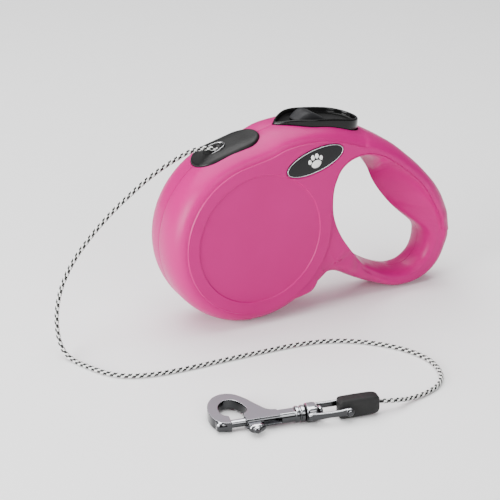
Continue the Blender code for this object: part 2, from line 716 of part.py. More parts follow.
def plan_prism(outline, low, high):
    return prism(outline, low, high, lambda s, t, z: Vector((s, t, z)) * MM)


def box(low, high):
    corners = [(low[0], low[1]), (high[0], low[1]), (high[0], high[1]), (low[0], high[1])]
    return plan_prism(corners, low[2], high[2])


def cross_hole(radius):
    hole = turned([(0, -8), (radius, -8), (radius, 8), (0, 8)], Vector((0, 0, 0)), 16)
    return hole


def end_sleeve(black):
    half = SLEEVE_WIDTH / 2
    shape = box((SLEEVE_FROM, -half, -SLEEVE_HEIGHT / 2), (SLEEVE_TO, half, SLEEVE_HEIGHT / 2))
    bmesh.ops.bevel(shape, geom=shape.edges[:], offset=1.1 * MM, segments=3, affect="EDGES")
    sleeve = add_object("end_sleeve", placed(shape, SLEEVE_PITCH), black)
    boolean(sleeve, add_tool("sleeve_pin_hole", placed(cross_hole(1.1), SLEEVE_PITCH)))


def swivel_fork(chrome):
    """A block that turns on the hook's stem, with two arms that carry the cross-pin."""
    steps = 8
    end = [(1.3 * math.sin(math.pi * i / steps), 1.3 * math.cos(math.pi * i / steps)) for i in range(steps + 1)]
    arms = []
    for low, high in ((-4.3, -2.9), (2.9, 4.3)):
        outline = [(-12.0, 1.3)] + end + [(-12.0, -1.3)]
        arms.append(prism(outline, low, high, lambda s, z, t: Vector((s, t, z)) * MM))
    bridge = box((-14.6, -4.3, -1.6), (-11.4, 4.3, 1.6))
    fork = add_object("swivel_fork", placed(along_axis(ring_profile(1.0, 3.2, -15.0, -10.9)), HOOK_PITCH), chrome,
                      origin=from_drum(*PIN_PLACE))
    for name, part in (("fork_bridge", bridge), ("fork_arm_near", arms[0]), ("fork_arm_far", arms[1])):
        boolean(fork, add_tool(name, placed(part, HOOK_PITCH)), "UNION")
    bore = along_axis([(0, -16), (1.5, -16), (1.5, -9), (0, -9)])
    boolean(fork, add_tool("fork_bore", placed(bore, HOOK_PITCH)))
    boolean(fork, add_tool("fork_pin_hole", placed(cross_hole(1.1), HOOK_PITCH)))
    pin = turned([(0, -4.6), (0.8, -4.6), (0.8, 4.6), (0, 4.6)], Vector((0, 0, 0)), 16)
    add_object("fork_pin", placed(pin, HOOK_PITCH), chrome, origin=from_drum(*PIN_PLACE))


def hook_loop_outline():
    """The hook's plate: the teardrop outside, the eye inside, open at the bolt."""
    outside = [(-26.0, 2.2, 0), (-28.0, 3.6, 0), (-30.6, 8.0, 0), (-33.2, 13.0, 0), (-36.4, 16.6, 0),
               (-40.2, 17.5, 0), (-43.8, 15.8, 0), (-46.4, 12.2, 0), (-47.4, 7.8, 0), (-46.8, 3.0, 0),
               (-44.8, -0.8, 0), (-41.3, -2.5, 0)]
    inside = [(-41.3, 2.0, 0), (-43.3, 3.4, 0), (-44.0, 6.6, 0), (-43.3, 10.2, 0), (-41.0, 12.7, 0),
              (-38.4, 12.9, 0), (-36.1, 11.0, 0), (-34.6, 7.4, 0), (-34.4, 4.2, 0), (-36.6, 2.0, 0)]
    loop = smooth_curve(outside, 3, False) + smooth_curve(inside, 3, False)
    return [(p.x, p.y) for p in loop] + [(-36.6, -2.2), (-26.0, -2.2)]


def hook(chrome, steel):
    stem_at = -15.3
    profile = [(0, -36.1), (2.5, -36.1), (2.5, -18.4), (3.1, -18.0), (3.1, stem_at), (1.2, stem_at),
               (1.2, -10.6), (2.0, -10.6), (1.7, -9.4), (0.9, -8.8), (0, -8.7)]
    body = add_object("hook_body", placed(along_axis(profile, 20), HOOK_PITCH), chrome,
                      origin=from_drum(*PIN_PLACE))
    plate = plan_prism(hook_loop_outline(), -1.7, 1.7)
    boolean(body, add_tool("hook_plate", placed(plate, HOOK_PITCH)), "UNION")
    barrel = along_axis([(0, -42.2), (1.75, -42.2), (1.75, -19.0), (0, -19.0)])
    slot = box((-37.4, -4.5, -1.1), (-24.0, 0, 1.1))
    for name, part in (("hook_barrel", barrel), ("hook_slot", slot)):
        boolean(body, add_tool(name, placed(part, HOOK_PITCH)))

    bolt = add_object("hook_bolt", placed(along_axis([(0, -41.8), (1.2, -41.8), (1.4, -41.3), (1.4, -29.9),
                                                      (0, -29.9)], 16), HOOK_PITCH), chrome,
                      origin=from_drum(*PIN_PLACE))
    stem = box((-36.4, -4.6, -0.75), (-30.4, -0.4, 0.75))
    knob = plan_prism([(-33.4 + 3.1 * math.cos(2 * math.pi * i / 16), -5.2 + 1.7 * math.sin(2 * math.pi * i / 16))
                       for i in range(16)], -1.6, 1.6)
    for name, part in (("bolt_stem", stem), ("bolt_knob", knob)):
        boolean(bolt, add_tool(name, placed(part, HOOK_PITCH)), "UNION")
    turn, origin = hook_frame(HOOK_PITCH)
    axis = turn.to_3x3() @ Vector((1, 0, 0))
    coil_spring("bolt_spring", origin + axis * -23.5 * MM, 1.15, 0.2, 3.6, 5, steel, axis)


# ---------------------------------------------------------------- the whole object

def build():
    clear_scene()
    pink = material("casing_pink", PINK, 0.35)
    gloss = material("gloss_black", BLACK, 0.15)
    satin = material("satin_black", BLACK, 0.4)
    grey = material("matt_grey", DARK_GREY, 0.6)
    white = material("natural_plastic", NATURAL, 0.5)
    steel = material("steel", STEEL, 0.3, 1.0)
    chrome = material("chrome", STEEL, 0.1, 1.0)
    cord = material("cord", DARK_GREY, 0.8)

    stations = casing_stations()
    stretch = rim_stretch(GUIDE_FROM_X, GUIDE_TO_X)
    casing(stations, window_tools(stretch), pink)
    badges(gloss)
    screws(steel)
    cord_guide(stretch, satin)
    brake_button(gloss)
    lock_slider(grey)
    reel(white)
    spring_strip(steel)
    core_parts(white, steel, satin, cord)
    inner_cord(stretch, cord)
    brake_parts(white, steel)
    route = spaced(smooth_curve(CORD_ROUTE, 8, False), 4.6)
    wire("cord", [from_drum(*p) for p in route], CORD_RADIUS, cord)
    end_sleeve(satin)
    swivel_fork(chrome)
    hook(chrome, steel)


build()
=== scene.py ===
# Retractable cord leash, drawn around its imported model.
# Lengths are in millimetres from the drum's axis (x), the middle plane (y) and the floor (z).
import math

import bmesh
import bpy
from mathutils import Matrix, Vector
from mathutils.geometry import delaunay_2d_cdt


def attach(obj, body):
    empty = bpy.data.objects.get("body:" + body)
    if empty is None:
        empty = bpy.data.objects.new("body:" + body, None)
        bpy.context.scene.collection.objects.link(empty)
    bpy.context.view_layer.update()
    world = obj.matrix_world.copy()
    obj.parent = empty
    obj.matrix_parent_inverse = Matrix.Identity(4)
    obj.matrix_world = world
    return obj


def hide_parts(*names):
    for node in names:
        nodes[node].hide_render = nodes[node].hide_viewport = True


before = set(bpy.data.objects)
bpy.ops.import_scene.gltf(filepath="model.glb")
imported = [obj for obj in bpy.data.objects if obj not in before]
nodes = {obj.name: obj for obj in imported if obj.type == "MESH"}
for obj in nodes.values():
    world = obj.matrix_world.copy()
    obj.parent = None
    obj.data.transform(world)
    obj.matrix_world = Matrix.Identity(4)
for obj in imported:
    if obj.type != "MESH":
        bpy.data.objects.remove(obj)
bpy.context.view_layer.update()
print("frame loaded")

mm = 0.001
drumX = -28.4


# millimetres from the drum's axis to metres in the frame
def at(x, y, z):
    return Vector((x + drumX, y, z)) * mm


def addObject(name, data):
    piece = bpy.data.objects.new(name, data)
    bpy.context.collection.objects.link(piece)
    return piece


def finishMesh(name, bm, material, sharp=35):
    bmesh.ops.recalc_face_normals(bm, faces=bm.faces)
    mesh = bpy.data.meshes.new(name)
    bm.to_mesh(mesh)
    bm.free()
    mesh.shade_smooth()
    mesh.set_sharp_from_angle(angle=math.radians(sharp))
    if material:
        mesh.materials.append(material)
    return addObject(name, mesh)


# the mesh that a piece's modifiers make
def plainMesh(piece):
    return bpy.data.meshes.new_from_object(piece.evaluated_get(bpy.context.evaluated_depsgraph_get()))


def settle(piece, sharp=None):
    mesh = plainMesh(piece)
    piece.modifiers.clear()
    piece.data = mesh
    mesh.name = piece.name
    if sharp:
        mesh.shade_smooth()
        mesh.set_sharp_from_angle(angle=math.radians(sharp))


def cutWith(piece, cutters):
    for cutter in cutters:
        step = piece.modifiers.new(cutter.name, "BOOLEAN")
        step.solver = "EXACT"
        step.object = cutter
    bpy.context.view_layer.update()


# a smooth curve through every point
def smoothCurve(points, perSpan, closed):
    points = [Vector(p) for p in points]
    count = len(points)
    out = []
    for i in range(count if closed else count - 1):
        if closed:
            a, b, c, d = (points[(i + k) % count] for k in (-1, 0, 1, 2))
        else:
            b, c = points[i], points[i + 1]
            a = points[i - 1] if i else b * 2 - c
            d = points[i + 2] if i + 2 < count else c * 2 - b
        for k in range(perSpan):
            t = k / perSpan
            out.append(0.5 * (2 * b + (c - a) * t + (2 * a - 5 * b + 4 * c - d) * t * t
                              + (3 * b - a - 3 * c + d) * t ** 3))
    if not closed:
        out.append(points[-1])
    return out


# the same line with its points at even steps
def evenly(points, spacing):
    run = [0.0]
    for a, b in zip(points, points[1:]):
        run.append(run[-1] + (b - a).length)
    count = max(2, round(run[-1] / spacing))
    out, k = [], 0
    for i in range(count + 1):
        want = run[-1] * i / count
        while k < len(points) - 2 and run[k + 1] < want:
            k += 1
        out.append(points[k].lerp(points[k + 1], (want - run[k]) / (run[k + 1] - run[k])))
    return out


# 0 below low, 1 above high, and an S between them
def ease(low, high, value):
    t = min(1.0, max(0.0, (value - low) / (high - low)))
    return t * t * (3 - 2 * t)


# the table's value at an angle, eased between its rows
def eased(table, degrees):
    for (a, va), (b, vb) in zip(table, table[1:]):
        if degrees <= b:
            return va + (vb - va) * ease(a, b, degrees)
    return table[-1][1]


def circle(steps):
    turns = [2 * math.pi * i / steps for i in range(steps)]
    return [(math.cos(t), math.sin(t)) for t in turns]


# a circle pulled towards a square; the smaller the bend, the squarer
def squarish(steps, bend):
    return [tuple(math.copysign(abs(v) ** bend, v) for v in place) for place in circle(steps)]


def loftRings(rings, joinEnds=False, caps=True):
    bm = bmesh.new()
    rows = [[bm.verts.new(p) for p in ring] for ring in rings]
    pairs = list(zip(rows, rows[1:])) + ([(rows[-1], rows[0])] if joinEnds else [])
    size = len(rings[0])
    for low, high in pairs:
        for i in range(size):
            j = (i + 1) % size
            bm.faces.new((low[i], low[j], high[j], high[i]))
    if caps and not joinEnds:
        bm.faces.new(rows[0])
        bm.faces.new(rows[-1])
    return bm


def joined(parts):
    bm = bmesh.new()
    for part in parts:
        bmesh.ops.recalc_face_normals(part, faces=part.faces)
        scratch = bpy.data.meshes.new("scratch")
        part.to_mesh(scratch)
        part.free()
        bm.from_mesh(scratch)
        bpy.data.meshes.remove(scratch)
    return bm


# a node's inputs, each linked to a socket or set to a value
def feed(tree, node, sources):
    for key, source in sources.items():
        if isinstance(source, bpy.types.NodeSocket):
            tree.links.new(source, node.inputs[key])
        else:
            node.inputs[key].default_value = source
    return node.outputs


def addNode(tree, kind, sources, **settings):
    node = tree.nodes.new(kind)
    for key, value in settings.items():
        setattr(node, key, value)
    return feed(tree, node, sources)


def objectNoise(tree, scale, detail=3.0):
    place = addNode(tree, "ShaderNodeTexCoord", {})["Object"]
    sources = {"Vector": place, "Scale": scale, "Detail": detail}
    return addNode(tree, "ShaderNodeTexNoise", sources)["Fac"]


# a value stretched to run from low to high
def spread(tree, source, low, high, fromLow=0.3, fromHigh=0.7):
    sources = {"Value": source, "From Min": fromLow, "From Max": fromHigh, "To Min": low, "To Max": high}
    return addNode(tree, "ShaderNodeMapRange", sources)["Result"]


def grey(value):
    return (value, value, value)


cloudScale = 40.0  # soft shifts of colour, per metre
glossShare = 0.4  # gloss shifts in patches, at this share of the grain's scale


# one finish: clouded colour, patchy gloss and a fine grain, in the piece's own space
def moulded(name, dark, light, roughness, grainScale, grainDepth, strength, metallic, specular):
    material = bpy.data.materials.new(name)
    material.use_nodes = True
    material.diffuse_color = (*light, 1)
    tree = material.node_tree
    cloud = objectNoise(tree, cloudScale)
    colour = addNode(tree, "ShaderNodeMix", {"A": (*dark, 1), "B": (*light, 1), "Factor": cloud},
                     data_type="RGBA")["Result"]
    patches = objectNoise(tree, grainScale * glossShare)
    fine = objectNoise(tree, grainScale, 2.0)
    grain = addNode(tree, "ShaderNodeBump",
                    {"Height": fine, "Distance": grainDepth * mm, "Strength": strength})["Normal"]
    feed(tree, tree.nodes["Principled BSDF"], {
        "Base Color": colour, "Roughness": spread(tree, patches, *roughness), "Normal": grain,
        "Metallic": metallic, "Specular IOR Level": specular})
    return material


# dark and light colour, low and high roughness, grain per metre, its depth in mm and strength,
# metallic and specular
finishes = {
    "pinkShell": ((0.40, 0.000, 0.130), (0.47, 0.001, 0.165), (0.33, 0.43), 1900, 0.05, 0.5, 0.0, 0.22),
    "guideBlack": (grey(0.005), grey(0.009), (0.36, 0.46), 2400, 0.03, 0.4, 0.0, 0.25),
    "buttonBlack": (grey(0.003), grey(0.005), (0.12, 0.20), 900, 0.02, 0.25, 0.0, 0.22),
    "sliderGrey": ((0.010, 0.010, 0.011), (0.016, 0.016, 0.018), (0.45, 0.55), 2600, 0.04, 0.5, 0.0, 0.25),
    "sleeveRubber": (grey(0.010), grey(0.012), (0.55, 0.68), 2200, 0.05, 0.6, 0.0, 0.25),
    "badgeBlack": ((0.003, 0.003, 0.004), (0.005, 0.005, 0.006), (0.08, 0.14), 700, 0.01, 0.2, 0.0, 0.25),
    # the mouth rim's bright steel, a painted highlight on the rim
    "rimPaintedHighlight": ((0.42, 0.42, 0.43), (0.55, 0.55, 0.56), (0.16, 0.26), 1500, 0.01, 0.2, 1.0, 0.5),
    "badgeSilver": ((0.62, 0.63, 0.66), (0.74, 0.75, 0.78), (0.22, 0.32), 1500, 0.01, 0.2, 1.0, 0.5),
    "pawWhite": ((0.80, 0.80, 0.79), (0.86, 0.86, 0.85), (0.32, 0.42), 1500, 0.01, 0.2, 0.0, 0.5),
    "hookChrome": ((0.60, 0.61, 0.64), (0.72, 0.73, 0.76), (0.07, 0.13), 500, 0.02, 0.25, 1.0, 0.5),
    "plainSteel": ((0.48, 0.49, 0.51), (0.58, 0.59, 0.61), (0.25, 0.38), 1600, 0.02, 0.3, 1.0, 0.5),
    "reelNylon": ((0.66, 0.65, 0.61), (0.76, 0.75, 0.71), (0.42, 0.55), 1800, 0.04, 0.5, 0.0, 0.5),
    "yarnWhite": ((0.74, 0.74, 0.72), (0.88, 0.88, 0.86), (0.70, 0.85), 5200, 0.06, 0.8, 0.0, 0.5),
    "yarnBlack": (grey(0.004), grey(0.010), (0.65, 0.80), 5200, 0.06, 0.8, 0.0, 0.5),
    "floorWhite": (grey(0.92), grey(0.93), (0.7, 0.8), 200, 0.01, 0.1, 0.0, 0.5),
}
mats = {name: moulded(name, *values) for name, values in finishes.items()}


# painted shade darkens the hook's sides, the more the less they face up, and its flat top turns to a satin
# finish whose grey colour is a painted reflection
def addPaintedShadeAndTop(material, paintedTopGrey, flatRoughness, flatMetallic):
    tree = material.node_tree
    shader = tree.nodes["Principled BSDF"]
    colour, roughness = (shader.inputs[key].links[0].from_socket for key in ("Base Color", "Roughness"))
    shade, satin = (addNode(tree, "ShaderNodeAttribute", {}, attribute_name=name)["Fac"]
                    for name in ("shade", "satin"))
    darker = addNode(tree, "ShaderNodeVectorMath", {0: colour, "Scale": shade}, operation="SCALE")[0]
    feed(tree, shader, {
        "Base Color": addNode(tree, "ShaderNodeMix", {"A": darker, "B": (*paintedTopGrey, 1), "Factor": satin},
                              data_type="RGBA")["Result"],
        "Roughness": addNode(tree, "ShaderNodeMix",
                             {"A": roughness, "B": flatRoughness, "Factor": satin})["Result"],
        "Metallic": spread(tree, satin, 1.0, flatMetallic, 0.0, 1.0)})


# the flat top's painted grey, then its roughness and its metallic
addPaintedShadeAndTop(mats["hookChrome"], (0.18, 0.185, 0.205), 0.40, 0.25)
print("materials made")


# the casing; x is along it and z is up
caseSizes = dict(
    drumRadius=36.6, halfThickness=13.8, land=3.0, wall=2.0, stations=460, seamDepth=0.16,
    gripX=50.0, gripZ=40.0,  # the middle of the finger hole
    discRadius=25.8, discDepth=0.4, stepWidth=0.34,
    ringRadius=30.9, ringFrom=-58.0, ringTo=11.5, step=0.45,  # the raised plate's edge, round the disc
    stepFade=(40, 50), topFrom=(-18, -13), topTo=(46.5, 48.5),  # where the step and the top stretch fade
    loopDrop=0.35, topDrop=0.3,  # how far the rim is brought in round the loop and along the top
    neckDrop=0.4)  # how far the face is lowered at the neck
backOutline = [
    (27.8, 12.1), (31.2, 13.5), (35, 13.8), (39, 12.6), (43.5, 10.2), (48.5, 7.6), (55, 4.7),
    (65.6, 0.8), (72.1, 0), (78.9, 0.8), (85, 3.3), (89.8, 8), (92.6, 14.5), (93.4, 21), (90.4, 33),
    (84.5, 43.7), (76.1, 53), (69.5, 58.8), (62.6, 64.2), (55.5, 68.3), (49.2, 71.4), (40, 75.2),
    (30, 77.8), (20, 78.4), (12, 77.7), (7, 76.6), (1.8, 74.6)]
holeOutline = [
    (31.8, 50), (32.2, 43), (34, 36.5), (37, 30.6), (41.3, 24.9), (46.8, 19.6), (52.9, 14.9),
    (58.9, 11.5), (65.3, 9), (70, 7.8), (75.5, 8.4), (79.4, 11.6), (81.4, 16), (81.7, 20.6), (80, 24.4),
    (72.4, 31), (67.1, 35.9), (61.8, 41.9), (57.6, 47.8), (54.6, 53.8), (51.4, 59.6), (46.6, 62.6),
    (41, 61.8), (36.2, 58.6), (33, 54.6)]
lipOutline = [
    (30.9, 50), (31.2, 43.6), (32.7, 37.6), (36, 30.8), (40.3, 24.7), (44.8, 19.2), (50, 13.4),
    (56.5, 9.2), (64.5, 5.2), (71.4, 4.1), (78, 5.2), (83.2, 9), (86, 14), (87, 19.4), (87, 25),
    (83.6, 33), (78.4, 41), (73, 48.2), (67.4, 53.4), (61.2, 58.2), (54, 62.8), (46.4, 65.2),
    (39.6, 64.4), (34.6, 61), (31.9, 55.6)]
# each row: direction from the middle of the finger hole in degrees, then the value there
thickAt = [
    (-141, 13.8), (-125, 13.8), (-112, 12.6), (-98, 10.8), (-82, 9.2), (-62, 8.4), (-44, 8.4),
    (-31, 9.2), (-20, 10.8), (-8, 12.8), (4, 13.8), (180, 13.8), (219, 13.8)]
flankAt = [
    (-141, 5.7), (-122, 5.7), (-100, 5.0), (-82, 4.3), (-62, 3.6), (-44, 3.9), (-31, 5.0), (-18, 5.7),
    (180, 5.7), (219, 5.7)]
scoopAt = [
    (-141, 0.0), (-30, 0.0), (-10, 0.7), (10, 1.0), (55, 1.0), (80, 0.3), (110, 0.0), (219, 0.0)]
lipAt = [
    (-141, 0.3), (-30, 0.0), (-19, 0.8), (10, 1.1), (60, 1.1), (100, 0.9), (150, 0.8), (219, 0.3)]
badgeShape = dict(x=22.4, z=65.4, long=12.6, short=4.8, tilt=math.radians(16), depth=0.3, steps=72)
gripCentre = Vector((caseSizes["gripX"], caseSizes["gripZ"]))
seamY = 0.05  # each half stops this short of the middle plane


def caseOutline():
    radius = caseSizes["drumRadius"]
    turns = [math.radians(100 + 211 * i / 26) for i in range(27)]
    drum = [(radius * math.cos(t), radius + radius * math.sin(t)) for t in turns]
    return smoothCurve([(x, z, 0) for x, z in drum + backOutline], 16, True)


# how far a ray from the middle of the finger hole runs to a closed curve
def reachOf(curve, ray):
    for i, here in enumerate(curve):
        a = here.xy - gripCentre
        b = curve[(i + 1) % len(curve)].xy - gripCentre
        ca, cb = ray.cross(a), ray.cross(b)
        if (ca <= 0) != (cb <= 0):
            hit = a.lerp(b, ca / (ca - cb))
            if hit.dot(ray) > 0:
                return hit.length
    raise ValueError("no crossing")


# one section line for each step round the casing, from its rim to the finger hole
def caseStations():
    sizes = caseSizes
    spacing, reach = 0.12, 28  # of the outline's points, and how many set the rim's direction
    hole = smoothCurve([(x, z, 0) for x, z in holeOutline], 10, True)
    lip = smoothCurve([(x, z, 0) for x, z in lipOutline], 10, True)
    loop = caseOutline()
    loop = evenly(loop + [loop[0]], spacing)[:-1]
    picks = [round(i * len(loop) / sizes["stations"]) for i in range(sizes["stations"])]
    turns = []
    for k in picks:
        turn = math.atan2(loop[k].y - sizes["gripZ"], loop[k].x - sizes["gripX"])
        turns.append(turn if not turns or turn > turns[-1] - 1 else turn + 2 * math.pi)
    middle = Vector((0, sizes["drumRadius"]))
    onDrum = [i for i, k in enumerate(picks[:round(sizes["stations"] * 0.6)])
              if (loop[k].xy - middle).length < sizes["drumRadius"] + 0.1]
    first, last = onDrum[0], onDrum[-1] + round(sizes["stations"] * 0.042)
    # round the drum the lines fan out evenly
    for i in range(first, last):
        turns[i] = turns[first] + (turns[last] - turns[first]) * (i - first) / (last - first)
    out = []
    for k, turn in zip(picks, turns):
        rim = loop[k].xy
        tangent = (loop[(k + reach) % len(loop)] - loop[k - reach]).xy.normalized()
        normal = Vector((tangent.y, -tangent.x))
        ray = Vector((math.cos(turn), math.sin(turn)))
        lipPoint = gripCentre + ray * reachOf(lip, ray)
        degrees = (math.degrees(turn) + 141) % 360 - 141
        beforeLoop = 1 - ease(*sizes["topTo"], rim.x)
        onTop = ease(*sizes["topFrom"], rim.x) * beforeLoop if rim.y > 60 else 0.0
        stepped = max(beforeLoop, 1 - ease(*sizes["stepFade"], rim.y))
        notch = ease(-21.3, -20.6, degrees)
        out.append(dict(
            rim=rim, normal=normal, ray=ray, lip=lipPoint, hole=gripCentre + ray * reachOf(hole, ray),
            thick=eased(thickAt, degrees), scoop=eased(scoopAt, degrees), lipDrop=eased(lipAt, degrees),
            flank=min(eased(flankAt, degrees), 0.8 * (rim - lipPoint).dot(normal)),
            stepped=stepped, band=onTop, notch=notch, degrees=degrees))
    return out


# the side face against its highest level: the sunk disc, and the step down to the loop
def faceLevel(x, z):
    sizes = caseSizes
    away = math.hypot(x, z - sizes["drumRadius"])
    width = sizes["stepWidth"]
    level = 0.0
    if x > 14:
        fade = 1 - ease(*sizes["stepFade"], z)
        level -= sizes["step"] * fade * ease(0.0, width, away - sizes["ringRadius"])
    level -= sizes["discDepth"] * (1 - ease(0.0, width, away - sizes["discRadius"]))
    return level


# seam, land and rounded flank, out to the side face
def outerSection(st, side):
    sizes = caseSizes
    land, seam = sizes["land"], sizes["seamDepth"]
    lower = sizes["loopDrop"] * (1 - st["notch"]) + sizes["topDrop"] * st["band"]
    rim = st["rim"] - st["normal"] * lower
    face = st["rim"] - st["normal"] * st["flank"]
    top = st["thick"] - sizes["neckDrop"] * (1 - st["notch"]) * ease(-60, -35, st["degrees"])
    flankTop = top - sizes["step"] * st["stepped"]
    points = [(rim - st["normal"] * seam, seamY), (rim - st["normal"] * 0.03, 0.14),
              (rim, 0.3), (rim, land * 0.6)]
    for i in range(13):
        turn = math.radians(i * 7.5)
        place = rim.lerp(face, 1 - math.cos(turn))
        points.append((place, land + (flankTop - land) * math.sin(turn)))
    return [(at(p.x, side * y, p.y)) for p, y in points], face, top


# how far into the finger hole, and how high, at share s of the grip's curve
def scoopPoint(scoop, s):
    into = scoop * s ** 1.5 + (1 - scoop) * math.sin(s * math.pi / 2)
    return into, scoop * (1 - s) + (1 - scoop) * math.cos(s * math.pi / 2)


# the grooved lip round the finger hole and the grip's curve down to the seam
def innerSection(st, side, top):
    lip, hole = st["lip"], st["hole"]
    drop, scoop = st["lipDrop"], st["scoop"]
    groove, bottom, steps = 0.42, 0.12, 16
    level = top + faceLevel(lip.x, lip.y)
    inward = (hole - lip).normalized()
    room = (hole - lip).length - groove
    width = min(0.25 + 0.5 * (1 - scoop), room * 0.6)
    line = 0.22 * ease(0.3, 0.7, drop)
    points = [(lip + inward * out, level - down) for out, down in (
        (0.0, 0.0), (0.12, line), (0.28, line), (groove, 0.02), (groove + width * 0.4, drop * 0.2),
        (groove + width, drop))]
    start, height = points[-1]
    for i in range(1, steps + 1):
        into, fall = scoopPoint(scoop, i / steps)
        points.append((start.lerp(hole, into), bottom + (height - bottom) * fall))
    points.append((hole - inward * 0.16, 0.04))
    return [at(p.x, side * y, p.y) for p, y in points]


# the inside of the wall, run the other way
def backSection(st, side):
    wall, land = caseSizes["wall"], caseSizes["land"]
    rim = st["rim"] - st["normal"] * wall
    face = st["rim"] - st["normal"] * st["flank"]
    lip, hole = st["lip"], st["hole"] + st["ray"] * wall
    top = st["thick"] - wall
    share = min(0.3, 0.8 / max(0.01, (lip - face).length))
    face, lip = face.lerp(lip, share), lip.lerp(face, share)
    points = [(rim, seamY), (rim, land)]
    for turn in (math.radians(t) for t in (35, 65, 90)):
        points.append((rim.lerp(face, 1 - math.cos(turn)), land + (top - land) * math.sin(turn)))
    for s in (0.0, 0.4, 0.7, 1.0):
        into, fall = scoopPoint(st["scoop"], s)
        points.append((lip.lerp(hole, into), seamY + (top - seamY) * fall))
    return [at(p.x, side * y, p.y) for p, y in reversed(points)]


def ringLoop(radius, first=0.0, last=360.0, spacing=0.9):
    count = max(8, round(math.radians(last - first) * radius / spacing))
    whole = last - first == 360.0
    turns = [math.radians(first + (last - first) * i / count) for i in range(count + (0 if whole else 1))]
    drum = caseSizes["drumRadius"]
    return [(radius * math.cos(t), drum + radius * math.sin(t)) for t in turns], whole


# a place on the tilted badge, a along it and b across it
def badgePoint(a, b):
    c, s = math.cos(badgeShape["tilt"]), math.sin(badgeShape["tilt"])
    return badgeShape["x"] + a * c - b * s, badgeShape["z"] + a * s + b * c


def badgeLoop(grow):
    halfLong, halfWide = badgeShape["long"] + grow, badgeShape["short"] + grow
    return [badgePoint(halfLong * c, halfWide * s) for c, s in circle(badgeShape["steps"])]


def insideLoop(point, loop):
    x, z = point
    inside = False
    for (ax, az), (bx, bz) in zip(loop, loop[1:] + loop[:1]):
        if (az > z) != (bz > z) and x < ax + (bx - ax) * (z - az) / (bz - az):
            inside = not inside
    return inside


# the flat side of a shell, as triangles between the flank and the lip that follow every step on it
def faceMesh(stations, faces, tops):
    sizes = caseSizes
    edge = [f.lerp(st["lip"], min(0.3, sizes["stepWidth"] / max(0.4, (st["lip"] - f).length)))
            for st, f in zip(stations, faces)]
    lips = [st["lip"] for st in stations]
    edgeLoop, lipLoop = [tuple(p) for p in edge], [tuple(p) for p in lips]
    count = len(stations)
    points, heights, links = [], [], []

    def onFace(p):
        return insideLoop(p, edgeLoop) and not insideLoop(p, lipLoop)

    def addLoop(loop, levels, closed):
        start = len(points)
        points.extend(Vector(p) for p in loop)
        heights.extend(levels)
        for i in range(len(loop) - (0 if closed else 1)):
            links.append((start + i, start + (i + 1) % len(loop)))

    addLoop(edge, [t + faceLevel(p.x, p.y) for p, t in zip(edge, tops)], True)
    addLoop(lips, [t + faceLevel(p.x, p.y) for p, t in zip(lips, tops)], True)
    # a broad face gets rows of points of its own
    for st, e, t in zip(stations, edge, tops):
        if (st["lip"] - e).length > 2.4 and -128 < st["degrees"] < 6:
            for share in (0.25, 0.5, 0.75):
                p = e.lerp(st["lip"], share)
                points.append(p)
                heights.append(t + faceLevel(p.x, p.y))
    width = sizes["stepWidth"]
    disc = (sizes["discRadius"], 0.0, 360.0)
    plate = (sizes["ringRadius"], sizes["ringFrom"], sizes["ringTo"])
    slope = [width * share for share in (0.0, 0.25, 0.5, 0.75, 1.0)]
    for offset in [-0.5, -0.12] + slope + [width + 0.12, width + 0.5]:
        for radius, first, last in (disc, plate):
            loop, closed = ringLoop(radius + offset, first, last)
            loop = loop if closed else [p for p in loop if onFace(p)]
            addLoop(loop, [sizes["halfThickness"] + faceLevel(x, z) for x, z in loop], closed)
    sunk = -badgeShape["depth"]
    for grow, level in ((0.75, 0.0), (0.5, 0.0), (0.42, -0.06), (0.32, sunk), (0.0, sunk)):
        loop = badgeLoop(grow)
        addLoop(loop, [sizes["halfThickness"] + level] * len(loop), True)

    verts, _, tris, fromVerts, _, _ = delaunay_2d_cdt(points, links, [], 0, 1e-5)
    levels = []
    owner = {}  # the vertex that each point of the flank and the lip became
    for i, sources in enumerate(fromVerts):
        if sources:
            levels.append(heights[sources[0]])
        else:
            levels.append(sizes["halfThickness"] + faceLevel(*verts[i]))
        owner.update((source, i) for source in sources if source < 2 * count)
    kept = [tri for tri in tris if onFace(sum((verts[i] for i in tri), Vector((0, 0))) / 3)]
    return verts, levels, kept, owner


# side is -1 for the left shell and 1 for the right
def buildShell(name, side, stations, cutters):
    sections, faces, tops = zip(*(outerSection(st, side) for st in stations))
    verts, levels, tris, owner = faceMesh(stations, faces, tops)
    bm = bmesh.new()
    flat = [bm.verts.new(at(v.x, side * level, v.y)) for v, level in zip(verts, levels)]
    for tri in tris:
        bm.faces.new([flat[i] for i in tri])
    count = len(stations)
    outer = [[bm.verts.new(p) for p in section] + [flat[owner[i]]] for i, section in enumerate(sections)]
    inner = []
    for i, st in enumerate(stations):
        points = innerSection(st, side, tops[i])
        inner.append([flat[owner[count + i]]] + [bm.verts.new(p) for p in points[1:]])
    back = [[bm.verts.new(p) for p in backSection(st, side)] for st in stations]
    rows = (outer, inner, back)
    for i in range(count):
        j = (i + 1) % count
        for row in rows:
            for k in range(len(row[i]) - 1):
                bm.faces.new((row[i][k], row[j][k], row[j][k + 1], row[i][k + 1]))
        bm.faces.new((inner[i][-1], inner[j][-1], back[j][0], back[i][0]))
        bm.faces.new((back[i][-1], back[j][-1], outer[j][0], outer[i][0]))
    loose = [v for v in bm.verts if not v.link_faces]
    bmesh.ops.delete(bm, geom=loose, context="VERTS")
    shell = finishMesh(name, bm, mats["pinkShell"], sharp=50)
    cutWith(shell, cutters)
    settle(shell, 42)
    return shell


# x, z and the depth of the seat under each screw's head
screwPlaces = [(-25.2, 17.2, 8.8), (26.8, 58.4, 10.6), (41.4, 16.6, 8.2), (82.5, 36.5, 8.8)]
screwSizes = dict(shank=1.45, head=2.45, bevel=2.75, gap=0.3, outFrom=1.0, bevelFrom=14.1, outTo=14.6)


